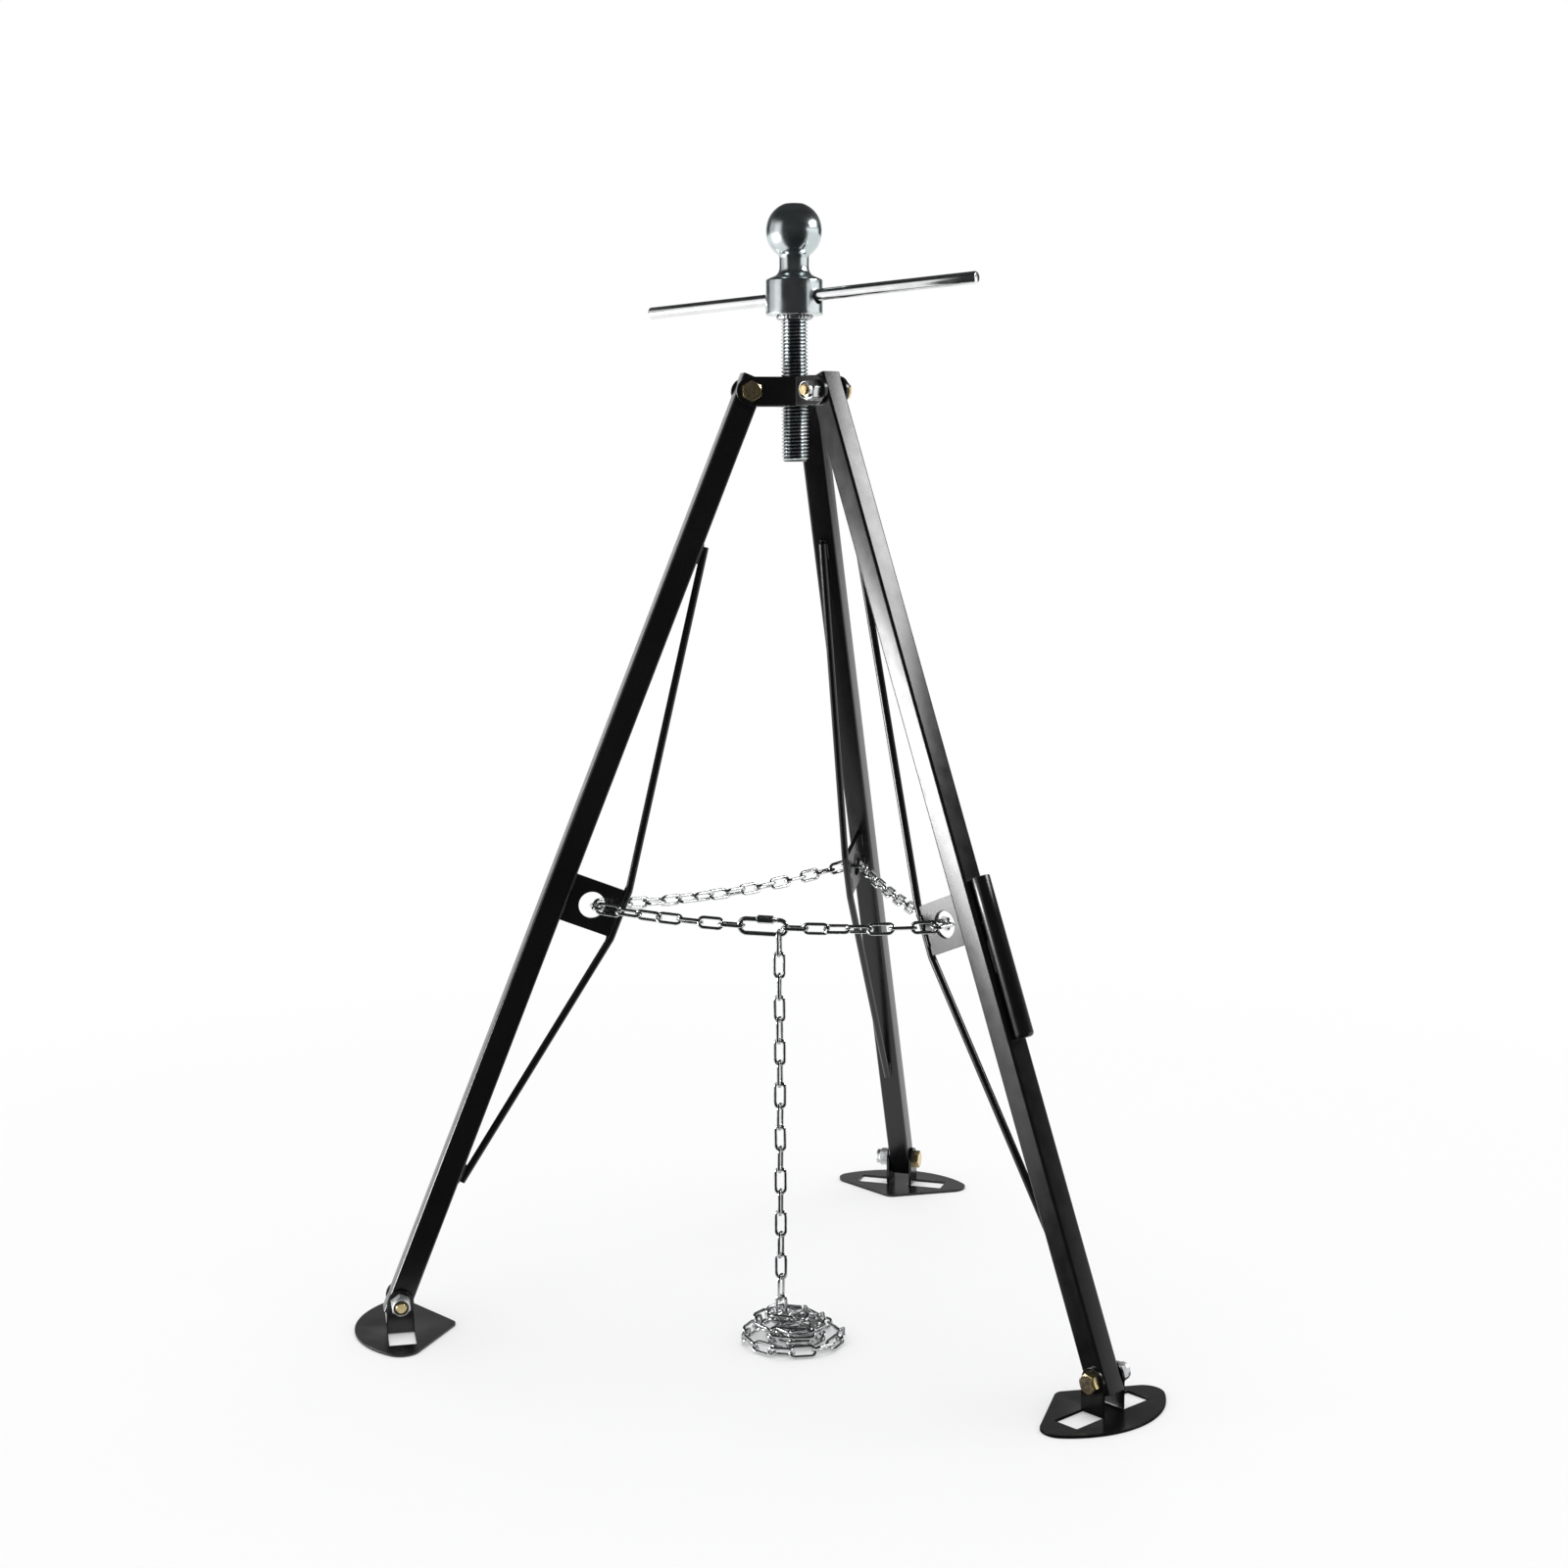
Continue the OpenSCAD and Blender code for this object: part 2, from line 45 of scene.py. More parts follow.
# ---------------------------------------------------------------- frame dimensions, mm, as in the CAD
SPLAY, LEG_LEN, PIVOT_R, AZ0 = 22.0, 1023.5, 50.0, 312.34
BOLT_H, TUBE, WALL, TOE, TOP = 34.0, 25.4, 2.1, 15.0, 16.0
HALF = TUBE / 2
PIVOT_Z = BOLT_H + LEG_LEN * math.cos(math.radians(SPLAY))
FOOT_R = PIVOT_R + LEG_LEN * math.sin(math.radians(SPLAY))
BALL_Z = PIVOT_Z + 164.3
CROWN_H, CROWN_T, NUT_AF, GAP, FOOT_T = 30.0, 4.5, 42.9, 0.3, 3.0
EAR_IN = HALF + GAP
CROWN_OUT, FOOT_OUT_Y = EAR_IN + CROWN_T, EAR_IN + FOOT_T
BOLT_D, BOLT_AF, HEAD_H, LOCK_H = 12.7, 19.05, 7.9, 15.2
G_S, G_W, G_H, G_T, G_R = 560.0, 56.0, 52.0, 5.0, 14.0
ROD_D, ROD_TOP, ROD_LOW = 8.0, 166.0, 884.0
ROD_N, ROD_OUT = -(HALF + 4.0), -(HALF + 56.0 + 4.0)
STORE_D, STORE_BORE, STORE_TOP, STORE_LEN = 19.5, 15.0, 527.0, 164.0
WIRE, SAG = 3.5, 10.0


def T(x, y, z):
    return Matrix.Translation((x, y, z))


def R(deg, axis):
    return Matrix.Rotation(math.radians(deg), 4, axis)


def az(i):
    return AZ0 + 120 * i


def leg_at(i):
    return R(az(i), "Z") @ T(PIVOT_R, 0, PIVOT_Z) @ R(-SPLAY, "Y")


def foot_at(i):
    return R(az(i), "Z") @ T(FOOT_R, 0, 0)


def leg_pt(i, n, t, s):
    return leg_at(i) @ Vector((n, t, -s))


# ---------------------------------------------------------------- mesh building
class Shape:
    def __init__(self):
        self.v, self.f = [], []

    def add(self, vf, M=None):
        v, f = vf
        base = len(self.v)
        self.v += [Vector(p) if M is None else M @ Vector(p) for p in v]
        self.f += [tuple(base + i for i in face) for face in f]
        return self


def lathe(profile, segs=64, ring=False):
    """Turns (radius, height) points about z. Points on the axis become poles; ring joins the last point to the first."""
    v, f, rows = [], [], []
    for r, z in profile:
        if r < 1e-9:
            rows.append([len(v)])
            v.append((0, 0, z))
        else:
            rows.append(list(range(len(v), len(v) + segs)))
            v += [(r * math.cos(2 * math.pi * k / segs), r * math.sin(2 * math.pi * k / segs), z) for k in range(segs)]
    pairs = list(zip(rows, rows[1:])) + ([(rows[-1], rows[0])] if ring else [])
    for a, b in pairs:
        if len(a) == 1 and len(b) == 1:
            continue
        for k in range(segs):
            n = (k + 1) % segs
            if len(a) == 1:
                f.append((a[0], b[n], b[k]))
            elif len(b) == 1:
                f.append((a[k], a[n], b[0]))
            else:
                f.append((a[k], a[n], b[n], b[k]))
    return v, f


def loft(rows, ring=False, cap=False):
    """Joins equal closed rows of points."""
    n = len(rows[0])
    v = [p for row in rows for p in row]
    f = []
    m = len(rows)
    for a in range(m if ring else m - 1):
        b = (a + 1) % m
        for k in range(n):
            j = (k + 1) % n
            f.append((a * n + k, a * n + j, b * n + j, b * n + k))
    if cap:
        f.append(tuple(range(n))[::-1])
        f.append(tuple((m - 1) * n + k for k in range(n)))
    return v, f


def arc_profile(cx, cz, r, a0, a1, n):
    return [(cx + r * math.cos(math.radians(a0 + (a1 - a0) * k / n)), cz + r * math.sin(math.radians(a0 + (a1 - a0) * k / n))) for k in range(n + 1)]


def sweep(path, flat, radii, segs=14, closed=True):
    """Round bar along a path that lies in the plane with normal flat. radii is one value, or one for each point."""
    n = len(path)
    path = [Vector(p) for p in path]
    flat = Vector(flat).normalized()
    rows = []
    for k in range(n):
        if closed:
            t = path[(k + 1) % n] - path[k - 1]
        else:
            t = path[min(k + 1, n - 1)] - path[max(k - 1, 0)]
        s = t.normalized().cross(flat).normalized()
        r = radii if isinstance(radii, (int, float)) else radii[k]
        rx, ry = r if isinstance(r, tuple) else (r, r)
        rows.append([path[k] + s * (rx * math.cos(2 * math.pi * j / segs)) + flat * (ry * math.sin(2 * math.pi * j / segs)) for j in range(segs)])
    return loft(rows, ring=closed, cap=not closed)


def hex_r(theta, af):
    a = (theta + math.pi / 6) % (math.pi / 3) - math.pi / 6
    return min(af / 2 / math.cos(a), af / 2 * 1.142)


def hex_body(af, h, bore=0.0, low=True, high=True, face=0.95, segs=72):
    """Hexagon bar from z 0 to h, its ends chamfered as a machined nut is, with a bore if given."""
    th = [2 * math.pi * k / segs for k in range(segs)]
    rc = af / 2 * face
    slope = math.tan(math.radians(30))

    def row(rf, zf):
        return [Vector((rf(t) * math.cos(t), rf(t) * math.sin(t), zf(t))) for t in th]

    rows = []
    cut = lambda t: max(0.0, hex_r(t, af) - rc) * slope
    if bore:
        rows.append(row(lambda t: bore, lambda t: 0.6))
        rows.append(row(lambda t: bore + 0.6, lambda t: 0.0))
    if low:
        rows.append(row(lambda t: rc, lambda t: 0.0))
        rows.append(row(lambda t: hex_r(t, af), cut))
    else:
        rows.append(row(lambda t: hex_r(t, af), lambda t: 0.0))
    if high:
        rows.append(row(lambda t: hex_r(t, af), lambda t: h - cut(t)))
        rows.append(row(lambda t: rc, lambda t: h))
    else:
        rows.append(row(lambda t: hex_r(t, af), lambda t: h))
    if bore:
        rows.append(row(lambda t: bore + 0.6, lambda t: h))
        rows.append(row(lambda t: bore, lambda t: h - 0.6))
        return loft(rows, ring=True)
    return loft(rows, cap=True)


def thread(r_major, r_minor, pitch, z0, z1, segs=48, lead=45.0):
    """Threaded bar from z0 to z1 with a true helix, its lower end chamfered."""
    prof = [(0.0, 1.0), (0.1, 1.0), (0.14, 0.94), (0.40, 0.06), (0.45, 0.0), (0.67, 0.0), (0.72, 0.06), (0.96, 0.94)]
    m = len(prof)
    rows = int((z1 - z0) / pitch + 2) * m
    v, f = [], []
    for j in range(rows + m):
        for i in range(segs):
            fr, h = prof[j % m]
            z = z0 - pitch + (j // m + fr + i / segs) * pitch
            r = r_minor + (r_major - r_minor) * h
            if z <= z0:
                z, r = z0, r_minor - 0.9
            elif z >= z1:
                z, r = z1, r_minor
            else:
                r = min(r, r_minor - 0.9 + (z - z0) * math.tan(math.radians(90 - lead)))
            a = 2 * math.pi * i / segs
            v.append((r * math.cos(a), r * math.sin(a), z))

    def at(j, i):
        return j * segs + i if i < segs else (j + m) * segs

    for j in range(rows - 1):
        for i in range(segs):
            f.append((at(j, i), at(j, i + 1), at(j + 1, i + 1), at(j + 1, i)))
    return v, f


def inside(x, y, loops):
    hit = False
    for lp in loops:
        for k in range(len(lp)):
            (xa, ya), (xb, yb) = lp[k - 1], lp[k]
            if (ya > y) != (yb > y) and x < (xb - xa) * (y - ya) / (yb - ya) + xa:
                hit = not hit
    return hit


def sheet(loops, t, place, lines=(), open_at=None):
    """Flat pattern with holes, given a thickness and folded by place(x, y, w). lines are the fold lines, open_at leaves out side walls."""
    pts, edges = [], []
    for lp in loops:
        b = len(pts)
        pts += [Vector(p) for p in lp]
        edges += [(b + k, b + (k + 1) % len(lp)) for k in range(len(lp))]
    for a, c in lines:
        pts += [Vector(a), Vector(c)]
        edges.append((len(pts) - 2, len(pts) - 1))
    cv, _, cf, *_rest = delaunay_2d_cdt(pts, edges, [], 0, 1e-5)
    tris = []
    for face in cf:
        cx = sum(cv[k][0] for k in face) / len(face)
        cy = sum(cv[k][1] for k in face) / len(face)
        if inside(cx, cy, loops):
            tris.append(tuple(face))
    used = sorted({k for face in tris for k in face})
    back = {k: n for n, k in enumerate(used)}
    m = len(used)
    v = [place(cv[k][0], cv[k][1], t / 2) for k in used] + [place(cv[k][0], cv[k][1], -t / 2) for k in used]
    f, count = [], {}
    for face in tris:
        q = [back[k] for k in face]
        f.append(tuple(q))
        f.append(tuple(m + k for k in reversed(q)))
        for k in range(len(q)):
            e = (q[k - 1], q[k])
            count[tuple(sorted(e))] = count.get(tuple(sorted(e)), []) + [e]
    for es in count.values():
        if len(es) == 1:
            a, b = es[0]
            mid = (cv[used[a]] + cv[used[b]]) / 2
            if open_at is not None and open_at(mid[0], mid[1]):
                continue
            f.append((b, a, m + a, m + b))
    return v, f


def circle(cx, cy, r, n=48, a0=0.0, a1=360.0, end=False):
    return [(cx + r * math.cos(math.radians(a0 + (a1 - a0) * k / n)), cy + r * math.sin(math.radians(a0 + (a1 - a0) * k / n))) for k in range(n + (1 if end else 0))]


def bead(a, b, r, flat, seed, step=0.55, ripple=2.3, squash=0.8):
    """Weld bead from a to b: overlapping ripples, fatter in the middle, with tapered ends."""
    rnd = random.Random(seed)
    a, b = Vector(a), Vector(b)
    n = max(8, int((b - a).length / step))
    d = (b - a).normalized()
    side = d.cross(Vector(flat)).normalized()
    path, rad, ph, wob = [], [], rnd.random() * 6.28, 0.0
    for k in range(n + 1):
        u = k / n
        s = (b - a).length * u
        end = min(1.0, math.sqrt(max(0.0, 1 - (1 - min(1.0, min(s, (b - a).length - s) / (1.3 * r))) ** 2)) + 0.18)
        wob = 0.8 * wob + 0.2 * (rnd.random() - 0.5)
        saw = (s / ripple + ph) % 1.0
        rr = r * end * (0.93 + 0.13 * math.sin(math.pi * saw) + 0.25 * wob)
        path.append(a.lerp(b, u) + side * (r * 0.35 * wob))
        rad.append((rr, rr * squash))
    return sweep(path, flat, rad, segs=12, closed=False)


def ring_bead(r0, r, z, seed, lumps=26, segs=260, sx=1.0, sz=1.0):
    """Weld bead laid round a bar: a torus made of ripples."""
    rnd = random.Random(seed)
    offs = [rnd.random() for _ in range(lumps)]
    rows = []
    for k in range(segs):
        u = k / segs * lumps
        saw = u % 1.0
        g = 0.92 + 0.14 * math.sin(math.pi * saw) + 0.10 * (offs[int(u) % lumps] * (1 - saw) + offs[(int(u) + 1) % lumps] * saw - 0.5)
        a = 2 * math.pi * k / segs
        rows.append([Vector(((r0 + r * g * sx * math.cos(p)) * math.cos(a), (r0 + r * g * sx * math.cos(p)) * math.sin(a), z + r * g * sz * math.sin(p))) for p in [2 * math.pi * j / 14 for j in range(14)]])
    return loft(rows, ring=True)


MADE = {}


def piece(name, shape, body, mat, nodes=(), bevel=0.0, steps=2, limit=35.0, smooth=32.0, flatten=False, cut=None, caps=False, miter="MITER_ARC"):
    me = bpy.data.meshes.new(name)
    me.from_pydata([tuple(p * MM) for p in shape.v], [], shape.f)
    bm = bmesh.new()
    bm.from_mesh(me)
    bmesh.ops.remove_doubles(bm, verts=bm.verts, dist=2e-7)
    bmesh.ops.dissolve_degenerate(bm, dist=1e-8, edges=bm.edges)
    if caps:
        bmesh.ops.holes_fill(bm, edges=[e for e in bm.edges if e.is_boundary], sides=0)
    bmesh.ops.recalc_face_normals(bm, faces=bm.faces)
    if flatten:
        bmesh.ops.dissolve_limit(bm, angle_limit=math.radians(0.4), use_dissolve_boundaries=False, verts=bm.verts, edges=bm.edges)
    bm.to_mesh(me)
    bm.free()
    ob = bpy.data.objects.new(name, me)
    bpy.context.scene.collection.objects.link(ob)
    if cut is not None:
        cm = bpy.data.meshes.new(name + "_cut")
        cm.from_pydata([tuple(p * MM) for p in cut.v], [], cut.f)
        cb = bmesh.new()
        cb.from_mesh(cm)
        bmesh.ops.recalc_face_normals(cb, faces=cb.faces)
        cb.to_mesh(cm)
        cb.free()
        co = bpy.data.objects.new(name + "_cut", cm)
        bpy.context.scene.collection.objects.link(co)
        m = ob.modifiers.new("cut", "BOOLEAN")
        m.operation, m.solver, m.object = "DIFFERENCE", "EXACT", co
        bpy.context.view_layer.update()
        dg = bpy.context.evaluated_depsgraph_get()
        new = bpy.data.meshes.new_from_object(ob.evaluated_get(dg))
        ob.modifiers.clear()
        ob.data = new
        me = new
        bpy.data.objects.remove(co)
    me.polygons.foreach_set("use_smooth", [True] * len(me.polygons))
    me.set_sharp_from_angle(angle=math.radians(smooth))
    me.materials.clear()
    me.materials.append(mat)
    me.update()
    if bevel:
        b = ob.modifiers.new("edges", "BEVEL")
        b.width, b.segments, b.limit_method, b.angle_limit = bevel * MM, steps, "ANGLE", math.radians(limit)
        b.harden_normals, b.use_clamp_overlap, b.miter_outer = True, True, miter
    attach(ob, body)
    if nodes:
        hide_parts(*nodes)
    MADE[name] = ob
    return ob


# ---------------------------------------------------------------- materials
class Mat:
    """Short helper for node trees."""

    def __init__(self, name):
        self.m = bpy.data.materials.new(name)
        self.m.use_nodes = True
        self.t = self.m.node_tree
        self.t.nodes.clear()
        self.out = self.t.nodes.new("ShaderNodeOutputMaterial")
        self.b = self.t.nodes.new("ShaderNodeBsdfPrincipled")
        self.t.links.new(self.b.outputs[0], self.out.inputs[0])
        self.co = self.t.nodes.new("ShaderNodeTexCoord").outputs["Object"]

    def link(self, a, b):
        self.t.links.new(a, b)

    def set(self, **kw):
        for k, val in kw.items():
            self.b.inputs[k.replace("_", " ")].default_value = val

    def mapped(self, scale, co=None):
        n = self.t.nodes.new("ShaderNodeMapping")
        n.inputs["Scale"].default_value = scale
        self.link(co or self.co, n.inputs["Vector"])
        return n.outputs[0]

    def noise(self, scale, detail=3.0, rough=0.55, co=None, distort=0.0):
        n = self.t.nodes.new("ShaderNodeTexNoise")
        n.inputs["Scale"].default_value = scale
        n.inputs["Detail"].default_value = detail
        n.inputs["Roughness"].default_value = rough
        n.inputs["Distortion"].default_value = distort
        self.link(co or self.co, n.inputs["Vector"])
        return n.outputs["Fac"]

    def voronoi(self, scale, feature="F1", co=None):
        n = self.t.nodes.new("ShaderNodeTexVoronoi")
        n.feature = feature
        n.inputs["Scale"].default_value = scale
        self.link(co or self.co, n.inputs["Vector"])
        return n.outputs["Distance"], n.outputs.get("Color")

    def ramp(self, fac, stops, interp="LINEAR"):
        n = self.t.nodes.new("ShaderNodeValToRGB")
        n.color_ramp.interpolation = interp
        el = n.color_ramp.elements
        while len(el) > 1:
            el.remove(el[-1])
        for k, (p, c) in enumerate(stops):
            e = el[0] if k == 0 else el.new(p)
            e.position = p
            e.color = (c, c, c, 1) if isinstance(c, (int, float)) else (*c, 1)
        self.link(fac, n.inputs[0])
        return n.outputs[0]

    def span(self, fac, a0, a1, b0, b1):
        n = self.t.nodes.new("ShaderNodeMapRange")
        for key, val in (("From Min", a0), ("From Max", a1), ("To Min", b0), ("To Max", b1)):
            n.inputs[key].default_value = val
        self.link(fac, n.inputs["Value"])
        return n.outputs[0]

    def mix(self, fac, a, b, mode="MIX"):
        n = self.t.nodes.new("ShaderNodeMix")
        n.data_type = "RGBA"
        n.blend_type = mode
        for sock, val in ((n.inputs["Factor"], fac), (n.inputs[6], a), (n.inputs[7], b)):
            if isinstance(val, bpy.types.NodeSocket):
                self.link(val, sock)
            elif isinstance(val, (int, float)):
                sock.default_value = val
            else:
                sock.default_value = (*val, 1)
        return n.outputs[2]

    def math(self, op, a, b=0.0, c=0.0):
        n = self.t.nodes.new("ShaderNodeMath")
        n.operation = op
        for k, val in enumerate((a, b, c)):
            if isinstance(val, bpy.types.NodeSocket):
                self.link(val, n.inputs[k])
            else:
                n.inputs[k].default_value = val
        return n.outputs[0]

    def bump(self, height, dist, strength=1.0, normal=None):
        n = self.t.nodes.new("ShaderNodeBump")
        n.inputs["Distance"].default_value = dist
        n.inputs["Strength"].default_value = strength
        self.link(height, n.inputs["Height"])
        if normal is not None:
            self.link(normal, n.inputs["Normal"])
        return n.outputs[0]

    def edge(self, radius=0.0008):
        """0 in flats, towards 1 on convex edges."""
        n = self.t.nodes.new("ShaderNodeBevel")
        n.samples = 4
        n.inputs["Radius"].default_value = radius
        g = self.t.nodes.new("ShaderNodeNewGeometry")
        d = self.t.nodes.new("ShaderNodeVectorMath")
        d.operation = "DOT_PRODUCT"
        self.link(n.outputs[0], d.inputs[0])
        self.link(g.outputs["Normal"], d.inputs[1])
        return self.math("SUBTRACT", 1.0, d.outputs["Value"])

    def pits(self):
        g = self.t.nodes.new("ShaderNodeNewGeometry")
        return g.outputs["Pointiness"]


def black_powder():
    """Semi-gloss black powder coat: orange peel, faint cloudiness, fine specks of dust, a little thinner on the edges."""
    m = Mat("black_powder_coat")
    cloud = m.noise(9.0, 4.0)
    fleck = m.noise(2600.0, 2.0)
    col = m.ramp(cloud, [(0.3, (0.0030, 0.0029, 0.0031)), (0.7, (0.0052, 0.0050, 0.0053))])
    dust = m.ramp(fleck, [(0.70, 0.0), (0.80, 1.0)])
    col = m.mix(m.math("MULTIPLY", dust, 0.06), col, (0.06, 0.058, 0.056))
    rub = m.ramp(m.edge(0.0007), [(0.05, 0.0), (0.35, 1.0)])
    wear = m.math("MULTIPLY", rub, m.ramp(m.noise(240.0, 3.0), [(0.45, 0.0), (0.75, 1.0)]))
    col = m.mix(m.math("MULTIPLY", wear, 0.5), col, (0.035, 0.035, 0.037))
    m.link(col, m.b.inputs["Base Color"])
    m.link(m.span(m.noise(60.0, 4.0), 0.3, 0.7, 0.20, 0.26), m.b.inputs["Roughness"])
    peel = m.noise(620.0, 2.0, 0.4)
    m.link(m.bump(peel, 0.00003, 0.35, m.bump(m.noise(90.0, 2.0), 0.00006, 0.2)), m.b.inputs["Normal"])
    m.set(IOR=1.5)
    return m.m


def zinc(name, base, dark, rough, lines=None, tint=None, spangle=0.0, noise_scale=70.0, bump=0.00003, root_shade_radii=None):
    """Plated steel. lines is (axis scale) for turned or drawn marks, tint a second hue that clouds the plating."""
    m = Mat(name)
    cloud = m.noise(noise_scale, 5.0, 0.6, distort=0.4)
    col = m.ramp(cloud, [(0.25, dark), (0.55, base), (0.8, tuple(min(1.0, c * 1.06) for c in base))])
    if tint is not None:
        hue = m.ramp(m.noise(noise_scale * 0.55, 3.0, 0.5, distort=1.0), [(0.40, 0.0), (0.72, 1.0)])
        col = m.mix(m.math("MULTIPLY", hue, 0.6), col, tint)
    specks = m.ramp(m.noise(noise_scale * 22, 2.0), [(0.66, 0.0), (0.74, 1.0)])
    col = m.mix(m.math("MULTIPLY", specks, 0.35), col, tuple(c * 0.35 for c in dark))
    if root_shade_radii is not None:  # painted shade in the roots of a thread that runs up the z axis, given as two radii
        far = m.t.nodes.new("ShaderNodeVectorMath")
        far.operation = "LENGTH"
        m.link(m.mapped((1.0, 1.0, 0.0)), far.inputs[0])
        painted_root_shade = m.span(far.outputs["Value"], root_shade_radii[0] * MM, root_shade_radii[1] * MM, 0.88, 0.0)
        # painted shade: the colour darkens towards the root radius of the thread
        col = m.mix(painted_root_shade, col, (0.010, 0.012, 0.012))
    m.link(col, m.b.inputs["Base Color"])
    m.set(Metallic=1.0)
    r = m.span(m.noise(noise_scale * 1.7, 4.0), 0.3, 0.7, rough * 0.8, rough * 1.3)
    m.link(r, m.b.inputs["Roughness"])
    nrm = m.bump(m.noise(noise_scale * 6, 3.0), bump, 0.5)
    if lines is not None:
        nrm = m.bump(m.noise(1.0, 2.0, 0.5, co=m.mapped(lines)), 0.00002, 0.45, nrm)
    m.link(nrm, m.b.inputs["Normal"])
    return m.m


BLACK = black_powder()
BALL = zinc("zinc_plate", (0.66, 0.695, 0.70), (0.52, 0.57, 0.585), 0.19, lines=(6.0, 6.0, 2600.0), tint=(0.50, 0.60, 0.61), noise_scale=38.0, bump=0.00002)
# the thread gets painted shade in its roots, darkest inside radius 12.2 mm and none beyond 13.4 mm
SCREW = zinc("zinc_thread", (0.86, 0.89, 0.895), (0.50, 0.55, 0.57), 0.16, lines=(40.0, 40.0, 1800.0), tint=(0.50, 0.58, 0.62), noise_scale=90.0, root_shade_radii=(12.2, 13.4))
WELD = zinc("zinc_weld", (0.52, 0.54, 0.55), (0.26, 0.27, 0.29), 0.24, tint=(0.46, 0.45, 0.38), noise_scale=220.0, bump=0.00006)
BAR = zinc("bright_bar", (0.86, 0.865, 0.865), (0.74, 0.75, 0.755), 0.15, noise_scale=30.0)
GOLD = zinc("yellow_zinc", (0.80, 0.66, 0.33), (0.50, 0.36, 0.15), 0.24, tint=(0.78, 0.58, 0.50), noise_scale=130.0)
NUTZ = zinc("nut_zinc", (0.78, 0.79, 0.79), (0.52, 0.54, 0.55), 0.24, tint=(0.64, 0.68, 0.71), noise_scale=140.0)
# the foot nuts use a lighter copy of the nut zinc: painted light, standing for the light they catch near the floor
NUTF_PAINTED_LIGHT = zinc("foot_nut_zinc_painted_light", (0.97, 0.975, 0.975), (0.74, 0.76, 0.77), 0.46, tint=(0.64, 0.68, 0.71), noise_scale=140.0)
CHAIN = zinc("chain_zinc", (0.73, 0.74, 0.745), (0.34, 0.353, 0.362), 0.12, tint=(0.50, 0.52, 0.50), noise_scale=150.0, bump=0.00005)


def nylon():
    m = Mat("nylon_insert")
    m.link(m.ramp(m.noise(180.0, 3.0), [(0.3, (0.018, 0.022, 0.030)), (0.7, (0.032, 0.038, 0.050))]), m.b.inputs["Base Color"])
    m.link(m.span(m.noise(420.0, 2.0), 0.3, 0.7, 0.38, 0.55), m.b.inputs["Roughness"])
    m.link(m.bump(m.noise(1500.0, 2.0), 0.00003, 0.4), m.b.inputs["Normal"])
    return m.m


NYLON = nylon()

# ---------------------------------------------------------------- ball, neck and collar
at_ball = T(0, 0, BALL_Z)
rb = 29.37
neck_z = -math.sqrt(rb * rb - 15.6 * 15.6)
sphere = [(rb * math.cos(math.radians(a)), rb * math.sin(math.radians(a))) for a in np.arange(math.degrees(math.asin(neck_z / rb)) + 1.4, 69.0, 2.6)]
top_r = math.sqrt(rb * rb - 27.6 * 27.6)
profile = [(0, -86), (10, -86), (28.4, -86), (28.9, -85.9), (29.6, -85.2), (29.9, -84.7), (30, -84.0), (30, -79), (30, -73), (30, -67.5), (30, -62), (30, -56), (30, -51.0),
           (29.85, -50.3), (29.3, -49.6), (28.4, -49.1), (26.0, -47.9), (23.4, -46.8), (20.3, -45.6), (18.9, -44.7), (17.7, -43.4), (16.8, -41.9), (16.1, -39.9), (15.75, -37.6), (15.6, -35.0),
           (15.6, -32.0), (15.6, -28.5), (15.7, -26.6), (16.1, -25.3)] + sphere + [(top_r + 0.9, 27.28), (top_r + 0.35, 27.5), (top_r - 0.3, 27.6), (5, 27.6), (0, 27.6)]
hole = Shape().add(lathe([(0, -46), (8, -46), (8, 46), (0, 46)], 72), at_ball @ T(0, 0, -67.5) @ R(-33.5, "Z") @ R(90, "Y"))
piece("ball_and_collar", Shape().add(lathe(profile, 144), at_ball), "head", BALL, ["ball_head"], bevel=0.7, steps=3, limit=42, smooth=30, cut=hole)
piece("screw_thread", Shape().add(thread(14.2875, 12.1, 3.6286, -236.5, -86.02, 56), at_ball), "head", SCREW, ["lift_screw"], smooth=42, caps=True)
weld = Shape().add(ring_bead(16.5, 2.35, -88.1, 3, lumps=30, sx=0.95, sz=0.92), at_ball)
for k in range(9):  # spatter and starts left by the welder
    rnd = random.Random(40 + k)
    a = rnd.random() * 360
    weld.add(lathe([(0, -0.95), (0.6, -0.8), (0.95, -0.2), (0.95, 0.2), (0.6, 0.8), (0, 0.95)], 12), at_ball @ R(a, "Z") @ T(18.6 + rnd.random() * 1.0, 0, -86.9))
piece("collar_weld", weld, "screw_carriage", WELD, ["screw_weld"], smooth=50)

# ---------------------------------------------------------------- handle bar
hr, hl = 6.35, 404.0
bar = lathe([(0, 0), (hr - 1.7, 0), (hr - 1.3, 0.12), (hr - 0.2, 1.25), (hr, 1.7), (hr, 60), (hr, hl / 2), (hr, hl - 60), (hr, hl - 1.7), (hr - 0.2, hl - 1.25), (hr - 1.3, hl - 0.12), (hr - 1.7, hl), (0, hl)], 72)
piece("handle_bar_round", Shape().add(bar, at_ball @ T(0, 0, -67.5) @ R(-33.5, "Z") @ R(90 - 2.6, "Y") @ T(0, 0, 15 - hl / 2)), "handle", BAR, ["handle_bar"])

# ---------------------------------------------------------------- crown
hub = Shape().add(hex_body(NUT_AF, 25.0, 14.36, face=0.96), R(AZ0 + 30, "Z") @ T(0, 0, PIVOT_Z - 12.5) @ R(30, "Z"))
piece("hub_nut_body", hub, "crown", BLACK, ["hub_nut"], bevel=0.35, smooth=28)
rho, k60 = 7.0, math.sqrt(3) / 2
xm, nc = NUT_AF / 2 + CROWN_T / 2, EAR_IN + CROWN_T / 2
e0 = (xm - k60 * nc) / 0.5
y0 = -0.5 * nc + k60 * e0
tan_l = rho * math.tan(math.radians(15))
mid, arc = y0 - tan_l, rho * math.radians(30)
u_hole = mid + arc + (PIVOT_R - e0 - tan_l)


